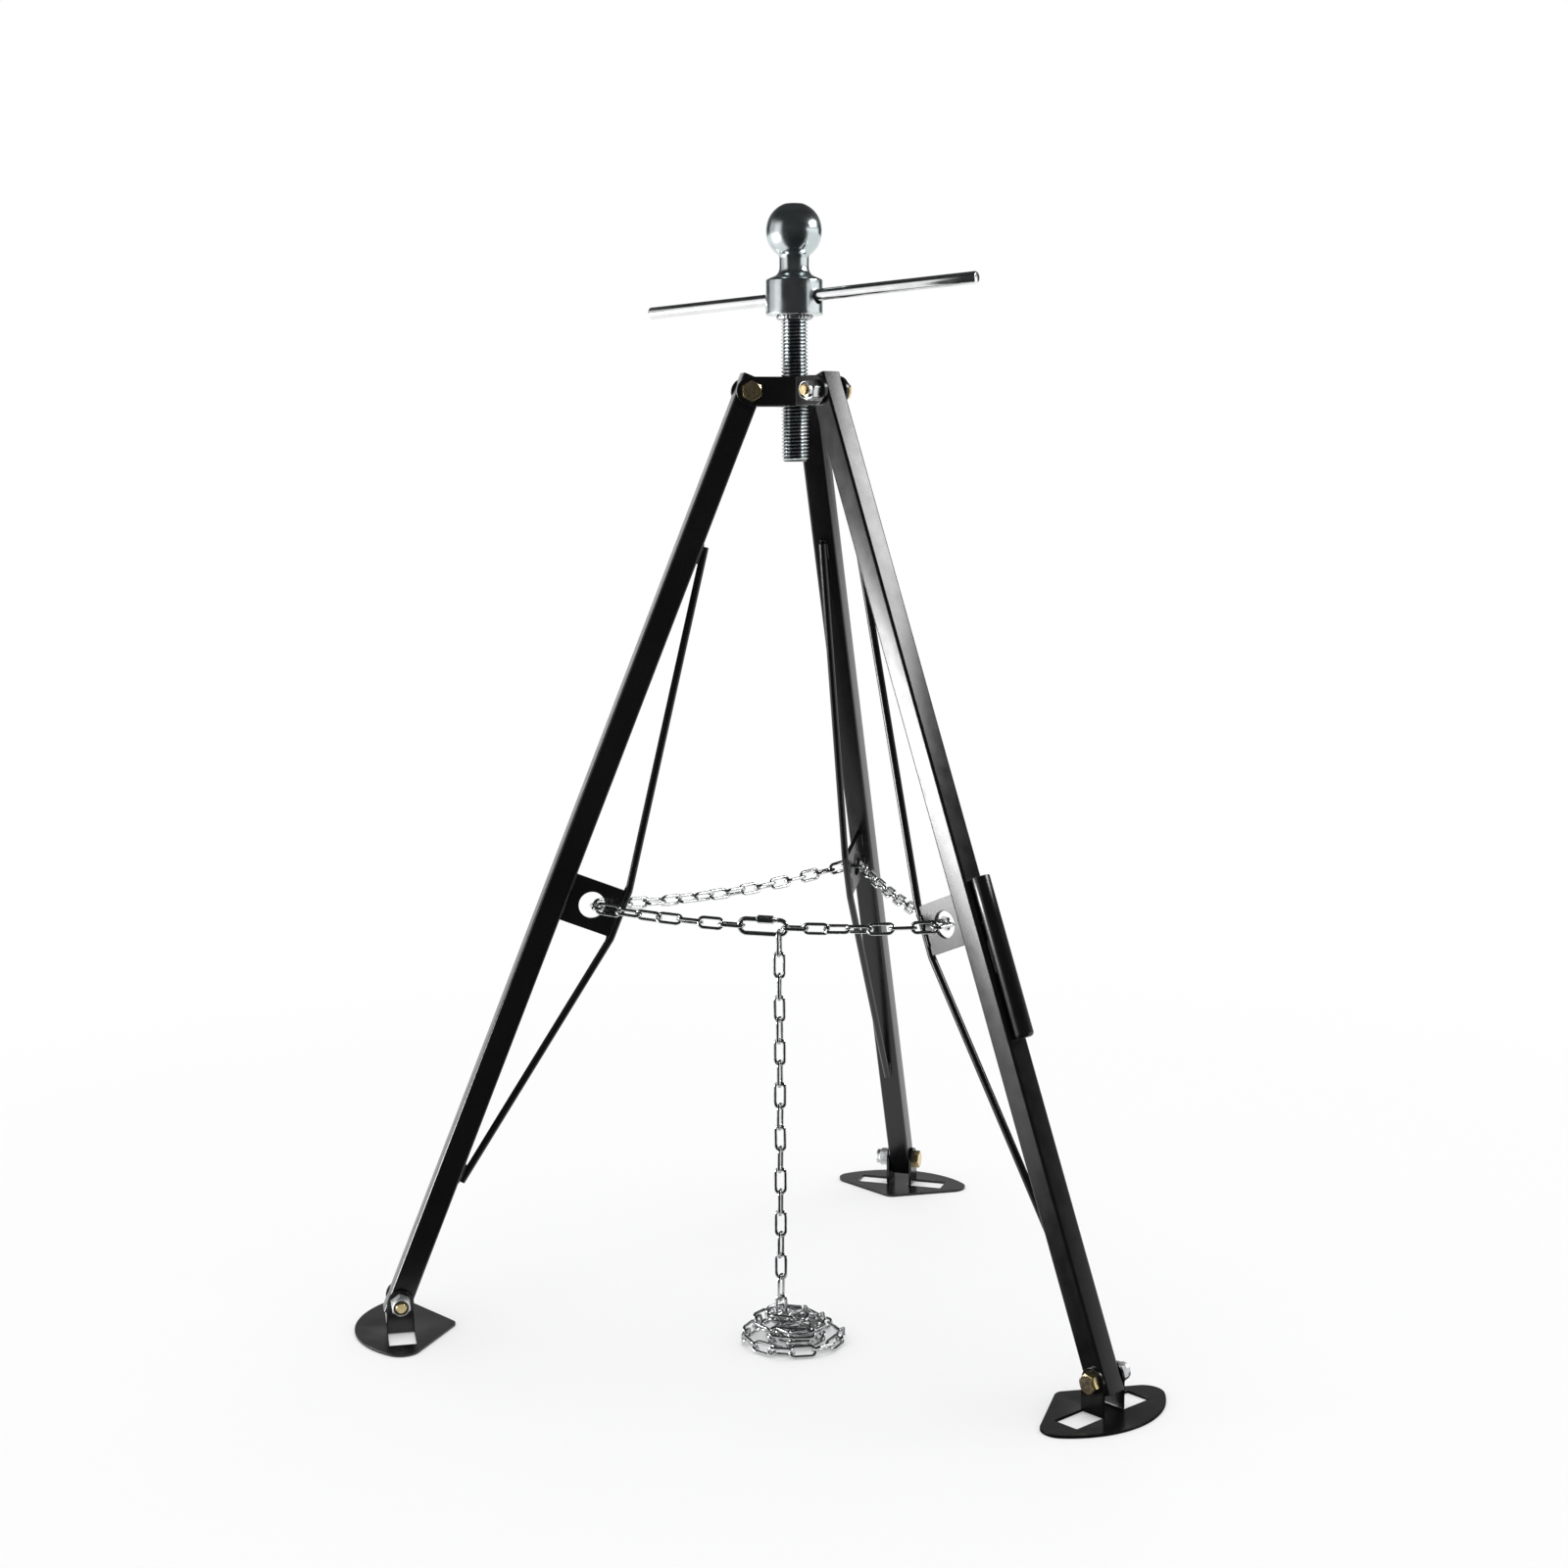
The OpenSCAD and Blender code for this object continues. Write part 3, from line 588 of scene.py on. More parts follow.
def crown_place(M):
    def place(u, v, w):
        s, a = (1 if u >= 0 else -1), abs(u)
        if a <= mid:
            px, py, nx, ny = xm, a, 1.0, 0.0
        elif a <= mid + arc:
            p = (a - mid) / rho
            px, py, nx, ny = xm + rho - rho * math.cos(p), mid + rho * math.sin(p), math.cos(p), -math.sin(p)
        else:
            q = a - mid - arc
            px, py = xm + rho * (1 - k60) + 0.5 * q, mid + rho * 0.5 + k60 * q
            nx, ny = k60, -0.5
        return M @ Vector((px + nx * w, s * (py + ny * w), v))
    return place


for i, side in enumerate(["right", "back", "front"]):
    h2 = CROWN_H / 2
    outline = circle(u_hole, 0, h2, 24, -90, 90, True) + circle(-u_hole, 0, h2, 24, 90, 270, True)
    loops = [outline, circle(u_hole, 0, 6.4, 48), circle(-u_hole, 0, 6.4, 48)]
    lines = [((s * (mid + arc * q / 6), -h2), (s * (mid + arc * q / 6), h2)) for s in (-1, 1) for q in range(7)]
    M = R(az(i) + 60, "Z") @ T(0, 0, PIVOT_Z)
    piece("crown_plate_%s_bent" % side, Shape().add(sheet(loops, CROWN_T, crown_place(M), lines)), "crown", BLACK, ["crown_plate_" + side], bevel=0.55, limit=40, smooth=30, flatten=True)
welds = Shape()
for i in range(3):  # the plates are welded to the nut along its top and bottom edges, and meet at its corners
    M = R(az(i) + 60, "Z") @ T(0, 0, PIVOT_Z)
    for z in (-12.7, 12.7):
        welds.add(bead(M @ Vector((20.9, -9.5, z)), M @ Vector((20.9, 9.5, z)), 2.0, (0, 0, 1), 60 + i))
    M = R(az(i), "Z") @ T(0, 0, PIVOT_Z)
    for s in (-1, 1):
        welds.add(bead(M @ Vector((25.6, s * 11.4, -14.2)), M @ Vector((25.6, s * 11.4, 14.2)), 1.5, (1, 0, 0), 70 + i))
piece("crown_welds", welds, "crown", BLACK, smooth=60)


# ---------------------------------------------------------------- fasteners, axis z, underside of the head at z 0, head below, thread end above
def bolt(length, seed):
    r = BOLT_D / 2
    out = Shape()
    out.add(hex_body(BOLT_AF, HEAD_H, low=True, high=False, face=0.93), T(0, 0, -HEAD_H))
    shank = [(0, -0.5), (r - 0.05, -0.5), (r - 0.05, length - 17)]
    z, p = length - 17, 1.95
    while z < length - 5.3:  # thread ridges
        shank += [(r - 0.05, z + 0.12), (r - 0.85, z + 0.9), (r - 0.85, z + 1.1), (r - 0.05, z + 1.85)]
        z += p
    shank += [(r - 0.1, length - 3.5), (r - 1.0, length - 3.2), (r - 1.05, length - 0.5), (r - 1.45, length), (0, length)]
    shank = sorted(shank[:3], key=lambda q: q[1]) + shank[3:]
    out.add(lathe(shank, 48))
    return out


def lock_nut():
    """Hexagon, then a round collar rolled in over the nylon ring."""
    r, hh, out = BOLT_AF / 2, LOCK_H - 4.4, Shape()
    out.add(hex_body(BOLT_AF, hh, BOLT_D / 2 + 0.05, face=0.95))
    rim = r - 0.75
    out.add(lathe([(BOLT_D / 2 + 1.2, hh - 0.4), (rim, hh - 0.4), (rim, LOCK_H - 1.4)] + arc_profile(rim - 0.5, LOCK_H - 0.5, 0.5, 0, 180, 8) + [(rim - 1.0, LOCK_H - 2.6), (rim - 1.3, LOCK_H - 3.2), (BOLT_D / 2 + 1.2, LOCK_H - 3.4)], 64, ring=True))
    return out


def insert_ring():
    r0, r1 = BOLT_D / 2 + 0.06, BOLT_AF / 2 - 1.85
    z0, z1 = LOCK_H - 3.1, LOCK_H - 1.2
    return lathe([(r0, z0), (r1, z0), (r1, z1 - 0.3), (r1 - 0.4, z1), (r0 + 0.7, z1), (r0, z1 - 0.6)], 64, ring=True)


def y_axis(flip):
    """z of the fastener to -y or +y."""
    return R(90 if not flip else -90, "X")


# crown: heads on the anticlockwise side; feet: mirrored
pb, pn, pi_ = Shape(), Shape(), Shape()
for i in range(3):
    M = R(az(i), "Z") @ T(PIVOT_R, 0, PIVOT_Z) @ R(12 + 25 * i, "Y")
    b = bolt(2 * CROWN_OUT + LOCK_H + 1.8, i)
    A = M @ T(0, CROWN_OUT, 0) @ y_axis(False)
    pb.add((b.v, b.f), A)
    nut = lock_nut()
    pn.add((nut.v, nut.f), M @ T(0, -CROWN_OUT, 0) @ y_axis(False) @ R(17 * i, "Z"))
    pi_.add(insert_ring(), M @ T(0, -CROWN_OUT, 0) @ y_axis(False))
piece("pivot_bolt_set", pb, "crown", GOLD, ["pivot_bolts"], bevel=0.3, limit=25, smooth=22)
piece("pivot_nut_set", pn, "crown", NUTZ, ["pivot_nuts"], bevel=0.25, limit=28, smooth=24)
piece("pivot_insert_set", pi_, "crown", NYLON, ["pivot_inserts"], smooth=35)
for i, leg in enumerate(LEGS):
    M = foot_at(i) @ T(0, 0, BOLT_H) @ R(-(20 + 17 * i), "Y")
    b = bolt(2 * FOOT_OUT_Y + LOCK_H + 1.2, 5 + i)
    A = M @ T(0, -FOOT_OUT_Y, 0) @ y_axis(True)
    piece("foot_bolt_%s_hex" % leg, Shape().add((b.v, b.f), A), "foot_" + leg, GOLD, ["foot_bolt_" + leg], bevel=0.3, limit=25, smooth=22)
    B = M @ T(0, FOOT_OUT_Y, 0) @ y_axis(True)
    nut = lock_nut()
    # foot nut in the lighter, painted-light copy of the nut zinc
    piece("foot_nut_%s_lock" % leg, Shape().add((nut.v, nut.f), B), "foot_" + leg, NUTF_PAINTED_LIGHT, ["foot_nut_" + leg], bevel=0.25, limit=28, smooth=24)
    piece("foot_insert_%s_ring" % leg, Shape().add(insert_ring(), B), "foot_" + leg, NYLON, ["foot_insert_" + leg], smooth=35)


# ---------------------------------------------------------------- legs
def rounded_square(w, r, n=8):
    out = []
    for cx, cy, a in ((1, 1, 0), (-1, 1, 90), (-1, -1, 180), (1, -1, 270)):
        out += circle(cx * (w / 2 - r), cy * (w / 2 - r), r, n, a, a + 90, True)
    return out


def rod_path(rad=16.0, n=10):
    p = [Vector((ROD_N, -ROD_TOP)), Vector((ROD_OUT, -G_S + G_H / 2 + 1)), Vector((ROD_OUT, -G_S - G_H / 2 - 1)), Vector((ROD_N, -ROD_LOW))]
    out = [p[0]]
    for k in (1, 2):
        a, b = (p[k - 1] - p[k]).normalized(), (p[k + 1] - p[k]).normalized()
        half = math.acos(max(-1, min(1, a.dot(b)))) / 2
        tl = rad / math.tan(half)
        s, e = p[k] + a * tl, p[k] + b * tl
        c = p[k] + (a + b).normalized() * (rad / math.sin(half))
        a0 = math.atan2((s - c).y, (s - c).x)
        a1 = math.atan2((e - c).y, (e - c).x)
        d = (a1 - a0 + math.pi) % (2 * math.pi) - math.pi
        out += [c + Vector((math.cos(a0 + d * q / n), math.sin(a0 + d * q / n))) * rad for q in range(n + 1)]
    out.append(p[3])
    return [Vector((q.x, 0, q.y)) for q in out]


for i, leg in enumerate(LEGS):
    M = leg_at(i)
    z0, z1 = -LEG_LEN - TOE, TOP
    outer, inner = rounded_square(TUBE, 3.0), rounded_square(TUBE - 2 * WALL, 1.2)
    zs = [z0, z0 + 60, z0 + 220, -G_S - 120, -G_S, -G_S + 120, -160, -40, z1]
    rows = [[Vector((x, y, z)) for x, y in outer] for z in zs] + [[Vector((x, y, z)) for x, y in inner] for z in reversed(zs)]
    holes = Shape()
    for z in (0.0, -LEG_LEN):
        holes.add(lathe([(0, -22), (6.4, -22), (6.4, 22), (0, 22)], 40), M @ T(0, 0, z) @ R(90, "X"))
    piece("leg_%s_tube" % leg, Shape().add(loft(rows, ring=True), M), "leg_" + leg, BLACK, ["leg_tube_" + leg], bevel=0.35, limit=50, smooth=30, cut=holes)

    gl = [[(-G_W / 2, -G_H / 2), (G_W / 2, -G_H / 2), (G_W / 2, G_H / 2), (-G_W / 2, G_H / 2)], circle(0, 0, G_R, 72)]
    gn = -(HALF + G_W / 2)
    place = lambda x, y, w, M=M, gn=gn: M @ Vector((gn + x, w, -G_S + y))
    piece("gusset_%s_plate" % leg, Shape().add(sheet(gl, G_T, place)), "leg_" + leg, BLACK, ["gusset_" + leg], bevel=0.5, steps=3, limit=40, smooth=30, flatten=True)

    path = [M @ p for p in rod_path()]
    flat = M.to_3x3() @ Vector((0, 1, 0))
    rod = Shape().add(sweep(path, flat, ROD_D / 2, segs=28, closed=False))
    piece("truss_rod_%s_bent" % leg, rod, "leg_" + leg, BLACK, ["truss_rod_" + leg], bevel=0.5, limit=50, smooth=35)

    w = Shape()
    n0 = -HALF
    for s in (-1, 1):
        y = s * (G_T / 2 + 0.3)
        # gusset to leg, stitched top and bottom
        for a, b in ((-G_S - G_H / 2 + 1.5, -G_S - G_H / 2 + 19), (-G_S + G_H / 2 - 19, -G_S + G_H / 2 - 1.5)):
            w.add(bead(M @ Vector((n0 - 0.3, y, a)), M @ Vector((n0 - 0.3, y, b)), 1.9, flat, 100 + i * 20 + s))
        # rod to gusset edge
        for a, b in ((-G_S - 17, -G_S - 3), (-G_S + 3, -G_S + 17)):
            w.add(bead(M @ Vector((-HALF - G_W - 0.8, y, a)), M @ Vector((-HALF - G_W - 0.8, y, b)), 1.7, flat, 110 + i * 20 + s))
        # rod ends to leg
        for z, d in ((-ROD_TOP, -1), (-ROD_LOW, 1)):
            w.add(bead(M @ Vector((n0 - 0.6, s * 3.2, z + d * 1.0)), M @ Vector((n0 - 0.9, s * 3.4, z + d * 20.0)), 2.1, flat, 120 + i * 20 + s))
    for z, d in ((-ROD_TOP, 1), (-ROD_LOW, -1)):
        w.add(bead(M @ Vector((n0 - 0.5, -3.6, z + d * 0.6)), M @ Vector((n0 - 0.5, 3.6, z + d * 0.6)), 2.3, (M.to_3x3() @ Vector((1, 0, 0))), 130 + i))
    # corners of the gusset, run out along the rod
    for a, b in ((-G_S + G_H / 2 - 2, -G_S + G_H / 2 + 5.5), (-G_S - G_H / 2 + 2, -G_S - G_H / 2 - 5.5)):
        w.add(bead(M @ Vector((-HALF - G_W + 0.2, 0, a)), M @ Vector((-HALF - G_W - 0.6, 0, b)), 1.4, flat, 140 + i))
    piece("leg_%s_welds" % leg, w, "leg_" + leg, BLACK, smooth=60)

# ---------------------------------------------------------------- storage tube on the right leg
rs = STORE_D / 2
sn = HALF + rs
prof = [(0, 0), (rs - 4.5, 0)] + arc_profile(rs - 4.5, 4.5, 4.5, -80, 0, 8)
prof += [(rs, STORE_LEN - 40), (rs, STORE_LEN - 0.9), (rs - 0.25, STORE_LEN - 0.25), (rs - 0.9, STORE_LEN), (STORE_BORE / 2 + 0.7, STORE_LEN), (STORE_BORE / 2 + 0.15, STORE_LEN - 0.2), (STORE_BORE / 2, STORE_LEN - 0.8), (STORE_BORE / 2, 6), (0, 6)]
M0 = leg_at(0)
piece("storage_tube_shell", Shape().add(lathe(prof, 72), M0 @ T(sn, 0, -STORE_TOP - STORE_LEN)), "leg_right", BLACK, ["storage_tube"], smooth=38)
sw = Shape()
for s in (-1, 1):
    for a, b, q in ((-STORE_TOP - 62, -STORE_TOP - 96, 1), (-STORE_TOP - 42, -STORE_TOP - 47, 2)):
        sw.add(bead(M0 @ Vector((HALF + 1.9, s * 5.1, a)), M0 @ Vector((HALF + 1.9, s * 5.1, b)), 2.5, (M0.to_3x3() @ Vector((0, 1, 0))), 150 + q + s))
piece("storage_tube_welds", sw, "leg_right", BLACK, smooth=60)

# ---------------------------------------------------------------- feet
f_half, f_out, f_in, ear_w, ear_cut = 82.0, 48.0, 58.0, 28.0, 38.0
rc, rt, xc = 19.5, 11.5, 1.0
yc, u_ = f_half - rc, xc - f_out
big = (u_ * u_ + yc * yc - rc * rc) / (2 * (f_out - xc - rc))
cx = f_out - big
a_t = math.degrees(math.atan2(yc, xc - cx))
dd = Vector((xc - (rt - f_in), yc))
na = math.degrees(math.atan2(dd.y, dd.x)) + 90 + math.degrees(math.asin((rc - rt) / dd.length))
half_line = circle(cx, 0, big, 36, 0, a_t, True) + circle(xc, yc, rc, 20, a_t, na, True)[1:] + circle(rt - f_in, 0, rt, 8, na, 180, True)
outline = half_line + [(x, -y) for x, y in reversed(half_line[1:-1])]
r_in = 2.2
r_mid = r_in + FOOT_T / 2
yb = FOOT_OUT_Y - r_in - FOOT_T
arc_l = r_mid * math.pi / 2
rise = BOLT_H - (r_in + FOOT_T)
dev = yb + arc_l + rise
for i, leg in enumerate(LEGS):
    M = foot_at(i)
    loops = [outline]
    for s in (-1, 1):
        cut = [(-ear_w / 2, yb), (ear_w / 2, yb)] + circle(ear_w / 2 - 1.5, FOOT_OUT_Y + ear_cut - 1.5, 1.5, 4, 0, 90, True) + circle(-ear_w / 2 + 1.5, FOOT_OUT_Y + ear_cut - 1.5, 1.5, 4, 90, 180, True)
        loops.append([(x, s * y) for x, y in cut])
    sh = Shape().add(sheet(loops, FOOT_T, lambda x, y, w: M @ Vector((x, y, FOOT_T / 2 + w)), open_at=lambda x, y: abs(abs(y) - yb) < 1e-3 and abs(x) < ear_w / 2 - 0.01))
    for s in (-1, 1):
        def fold(x, y, w, s=s, M=M):
            q = y - yb
            if q <= 0:
                px, pz, nx, nz = yb, FOOT_T / 2, 0.0, 1.0
            elif q <= arc_l:
                p = q / r_mid
                px, pz, nx, nz = yb + r_mid * math.sin(p), FOOT_T / 2 + r_mid * (1 - math.cos(p)), -math.sin(p), math.cos(p)
            else:
                px, pz, nx, nz = yb + r_mid, FOOT_T / 2 + r_mid + (q - arc_l), -1.0, 0.0
            return M @ Vector((x, s * (px + nx * w), pz + nz * w))
        ear = [(-ear_w / 2, yb), (ear_w / 2, yb)] + circle(0, dev, ear_w / 2, 28, 0, 180, True)
        lines = [((-ear_w / 2, yb + arc_l * q / 8), (ear_w / 2, yb + arc_l * q / 8)) for q in range(1, 9)]
        sh.add(sheet([ear, circle(0, dev, 6.4, 48)], FOOT_T, fold, lines, open_at=lambda x, y: abs(y - yb) < 1e-3))
    piece("foot_pad_%s_plate" % leg, sh, "foot_" + leg, BLACK, ["foot_pad_" + leg], bevel=0.4, steps=1, limit=45, smooth=30, flatten=True, miter="MITER_SHARP")

# ---------------------------------------------------------------- chain
CORNER_N = -(HALF + G_W / 2) - G_R + WIRE + 4.75
Q = 9.5


def q_pt(i, s):
    return leg_pt(i, CORNER_N, s * Q, G_S)


SPAN = (q_pt(1, -1) - q_pt(0, 1)).length
PITCH = (SPAN + 8 / 3 * SAG * SAG / SPAN) / 16
LX = WIRE / 2 + 3.5
LZ = (PITCH + 0.2) / 2 + WIRE / 2 - LX


def sag_pt(a, b, t):
    return a + (b - a) * t - Vector((0, 0, 4 * SAG * t * (1 - t)))


def along(p, d, roll):
    u = d.normalized()
    return Matrix.Translation(p) @ R(math.degrees(math.atan2(u.y, u.x)), "Z") @ R(math.degrees(math.acos(u.z)), "Y") @ R(roll, "Z")


def race(x, z, n=16, straight=7):
    """Racetrack in the xz plane, anticlockwise from the middle of the +x side."""
    pts = [(x, z * k / (straight - 1)) for k in range(straight)]
    pts += circle(0, z, x, n, 0, 180, True)[1:]
    pts += [(-x, z - 2 * z * k / (2 * straight - 2)) for k in range(1, 2 * straight - 1)]
    pts += circle(0, -z, x, n, 180, 360, True)[1:] if True else []
    pts += [(x, -z + z * k / (straight - 1)) for k in range(1, straight - 1)]
    return pts


def chain_link():
    """One welded link: round wire, a slightly proud weld seam in one side."""
    pts = race(LX, LZ)
    rad = []
    for x, z in pts:
        r = WIRE / 2
        if x > 0 and abs(z) < 2.6:
            r *= 1.0 + 0.13 * math.exp(-((abs(z) - 0.55) / 0.55) ** 2) - 0.05 * math.exp(-(z / 0.3) ** 2)
        rad.append(r)
    return sweep([Vector((x, 0, z)) for x, z in pts], (0, 1, 0), rad, segs=14)


LINK = chain_link()


def put_link(shape, M, seed):
    """Adds a link with its weld on either side."""
    rnd = random.Random(seed)
    shape.add(LINK, M @ R(0 if rnd.random() < 0.5 else 180, "Z"))


def span_links(a, b, k0, k1, r0, dr, seed):
    out = Shape()
    for k in range(k0, k1 + 1):
        p0, p1 = sag_pt(a, b, k / 16), sag_pt(a, b, (k + 1) / 16)
        rnd = random.Random(seed * 100 + k)
        put_link(out, along((p0 + p1) / 2, p1 - p0, r0 + dr * (k - k0) + (rnd.random() - 0.5) * 6), seed * 100 + k)
    return out


FA, FB = q_pt(2, 1), q_pt(0, -1)
HALVES = {
    "chain_front_left": (FA, FB, 0, 6, 0, 105),
    "chain_front_right": (FB, FA, 0, 6, 0, 105),
    "chain_right_front": (q_pt(0, 1), q_pt(1, -1), 0, 7, 0, 96),
    "chain_right_back": (q_pt(0, 1), q_pt(1, -1), 8, 15, 48, 96),
    "chain_back_right": (q_pt(1, 1), q_pt(2, -1), 0, 7, 0, 96),
    "chain_back_left": (q_pt(1, 1), q_pt(2, -1), 8, 15, 48, 96),
}
for n, (name, args) in enumerate(HALVES.items()):
    piece(name + "_links", span_links(*args, n + 1), name, CHAIN, [name], smooth=50)
for i, leg in enumerate(LEGS):
    c = leg_pt(i, CORNER_N, 0, G_S)
    s = Shape()
    put_link(s, along(c, leg_pt(i, CORNER_N, 1, G_S) - c, 90), 900 + i)
    piece("corner_link_%s_wire" % leg, s, "leg_" + leg, CHAIN, ["corner_link_" + leg], smooth=50)

QW, QX = 2.5, 7.5
QEND = PITCH + 0.2 + QW
QZ = QEND - QX
QMID = (sag_pt(FA, FB, 7 / 16) + sag_pt(FA, FB, 9 / 16)) / 2
QDIR = (FB - FA).normalized()
QM = along(QMID, QDIR, 180)


def quick_wire():
    z_lo, z_hi, p = 2.0, 9.0, 0.9
    pts, rad = [], []

    def thr(z, end):
        d = abs(z - end)
        if d < 0.45:
            return QW - 0.55 + d * 0.9
        return QW - 0.30 + 0.28 * math.cos(2 * math.pi * z / p) if d < 7.5 else QW

    z = z_hi
    while z < QZ:
        pts.append((QX, z))
        rad.append(thr(z, z_hi))
        z += 0.15
    for q in circle(0, QZ, QX, 24, 0, 180, True):
        pts.append(q)
        rad.append(QW)
    for k in range(1, 12):
        pts.append((-QX, QZ - 2 * QZ * k / 12))
        rad.append(QW)
    for q in circle(0, -QZ, QX, 24, 180, 360, True):
        pts.append(q)
        rad.append(QW)
    z = -QZ + 0.15
    while z < z_lo:
        pts.append((QX, z))
        rad.append(thr(z, z_lo))
        z += 0.15
    pts.append((QX, z_lo))
    rad.append(QW - 0.55)
    return sweep([Vector((x, 0, z)) for x, z in pts], (0, 1, 0), rad, segs=24, closed=False)


piece("quick_link_wire", Shape().add(quick_wire(), QM), "quick_link", CHAIN, ["quick_link"], smooth=50)
sleeve = hex_body(9.2 * math.cos(math.radians(30)), 17.0, QW + 0.06, face=0.95)
piece("quick_link_hex_sleeve", Shape().add(sleeve, QM @ T(QX, 0, 3 - 8.5) @ R(30, "Z")), "quick_link_sleeve", CHAIN, ["quick_link_sleeve"], bevel=0.3, limit=25, smooth=24)

TAIL = QMID + QDIR * (QZ - 0.66)
z_top = TAIL.z - QX + QW + WIRE / 2 + 0.2 - LZ - LX + PITCH / 2
tail = Shape()
turn = math.degrees(math.atan2(QDIR.y, QDIR.x)) + 90
for k in range(18):
    rnd = random.Random(300 + k)
    M = T(TAIL.x, TAIL.y, z_top - PITCH * (k + 0.5)) @ R(turn + 90 * k + (rnd.random() - 0.5) * 18, "Z") @ R((rnd.random() - 0.5) * 2.5, "X")
    put_link(tail, M, 300 + k)
piece("chain_tail_links", tail, "quick_link", CHAIN, ["chain_tail"], smooth=50)

REACH = 2 * (LZ + LX)
pile = Shape()


def ring(n, x, y, z, a0, seed, loose):
    r = (REACH * math.cos(math.pi / n) - WIRE - 0.2) / (2 * math.sin(math.pi / n))
    for k in range(n):
        rnd = random.Random(seed * 50 + k)
        j = lambda q: (rnd.random() - 0.5) * 2 * q
        M = T(12.3 + TAIL.x + x + j(0.6 * loose), -13.1 + TAIL.y + y + j(0.6 * loose), z + abs(j(0.5 * loose))) @ R(a0 + 360 / n * k + j(2.0 * loose), "Z") @ T(r * math.cos(math.pi / n), 0, 0) @ R(90 + j(2.5 * loose), "X") @ R((45 if k % 2 == 0 else -45) + j(9 * loose), "Z")
        put_link(pile, M, seed * 50 + k)


LIFT = LX * math.sin(math.radians(45)) + WIRE / 2 + 0.05
ring(14, 0, 0, LIFT, 0, 11, 1.0)
ring(8, 2, -1, LIFT, 10, 12, 1.0)
ring(10, -4, 8, 3 * LIFT + 0.2, 5, 13, 1.6)
ring(5, 3, 2, LIFT, 30, 14, 1.2)
ring(7, 6, -4, 3 * LIFT - 0.6, 20, 15, 1.8)
ring(6, -6, 10, 5 * LIFT - 3.0, 12, 17, 2.2)
low = min(p.z for p in pile.v)
pile.v = [p - Vector((0, 0, low)) for p in pile.v]
piece("chain_pile_links", pile, "chain_pile", CHAIN, ["chain_pile"], smooth=50)

# ---------------------------------------------------------------- floor, light and camera
floor_v, floor_f = lathe([(0, 0), (1.5, 0), (4.0, 0), (30.0, 0)], 96)
fm = bpy.data.meshes.new("floor")
fm.from_pydata(floor_v, [], floor_f)
floor = bpy.data.objects.new("floor", fm)
bpy.context.scene.collection.objects.link(floor)
m = Mat("studio_floor")
m.set(Roughness=0.75)
m.b.inputs["Base Color"].default_value = (0.90, 0.90, 0.905, 1)
m.b.inputs["Specular IOR Level"].default_value = 0.2
g = m.t.nodes.new("ShaderNodeNewGeometry")
ln = m.t.nodes.new("ShaderNodeVectorMath")
ln.operation = "LENGTH"
m.link(g.outputs["Position"], ln.inputs[0])
fade = m.t.nodes.new("ShaderNodeMapRange")
fade.interpolation_type = "SMOOTHSTEP"
fade.inputs["From Min"].default_value, fade.inputs["From Max"].default_value = 0.45, 2.0
fade.inputs["To Min"].default_value = 0.25
m.link(ln.outputs["Value"], fade.inputs["Value"])
em = m.t.nodes.new("ShaderNodeEmission")
em.inputs["Color"].default_value = (1, 1, 1, 1)
em.inputs["Strength"].default_value = 1.0
mixs = m.t.nodes.new("ShaderNodeMixShader")
m.link(fade.outputs[0], mixs.inputs[0])
m.link(m.b.outputs[0], mixs.inputs[1])
m.link(em.outputs[0], mixs.inputs[2])
# seen in the metal, the floor on the photographer's side is dark
lp_ = m.t.nodes.new("ShaderNodeLightPath")
sp_ = m.t.nodes.new("ShaderNodeSeparateXYZ")
m.link(g.outputs["Position"], sp_.inputs[0])
near = m.t.nodes.new("ShaderNodeMapRange")
near.interpolation_type = "SMOOTHSTEP"
near.inputs["From Min"].default_value, near.inputs["From Max"].default_value = -0.42, -0.62
m.link(m.math("DIVIDE", sp_.outputs[1], m.math("MAXIMUM", ln.outputs["Value"], 0.05)), near.inputs["Value"])
dk = m.t.nodes.new("ShaderNodeEmission")
dk.inputs["Color"].default_value = (0.016, 0.018, 0.019, 1)
mixd = m.t.nodes.new("ShaderNodeMixShader")
away = m.math("MULTIPLY", m.math("SUBTRACT", m.math("MINIMUM", m.math("MAXIMUM", ln.outputs["Value"], 0.20), 0.30), 0.20), 10.0)
m.link(m.math("MULTIPLY", m.math("MULTIPLY", near.outputs[0], away), lp_.outputs["Is Glossy Ray"]), mixd.inputs[0])
m.link(mixs.outputs[0], mixd.inputs[1])
m.link(dk.outputs[0], mixd.inputs[2])
m.link(mixd.outputs[0], m.out.inputs[0])
fm.materials.append(m.m)

# the floor follows the lowest point of the feet, so that it stays under them in every pose
marks = []
for i, leg in enumerate(LEGS):
    for x, y in [half_line[k] for k in (0, 18, 36, 42, 48, 56, 64)] + [(half_line[k][0], -half_line[k][1]) for k in (18, 36, 42, 48, 56)]:
        for z in (0.0, FOOT_T):
            e = bpy.data.objects.new("mark_%s_%d" % (leg, len(marks)), None)
            e.empty_display_size = 0.001
            bpy.context.scene.collection.objects.link(e)
            e.location = (foot_at(i) @ Vector((x, y, z))) * MM
            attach(e, "foot_" + leg)
            marks.append(e)
drv = floor.driver_add("location", 2).driver
drv.type = "MIN"
for n, e in enumerate(marks):
    var = drv.variables.new()
    var.name = "m%d" % n
    var.type = "TRANSFORMS"
    var.targets[0].id = e
    var.targets[0].transform_type = "LOC_Z"
    var.targets[0].transform_space = "WORLD_SPACE"

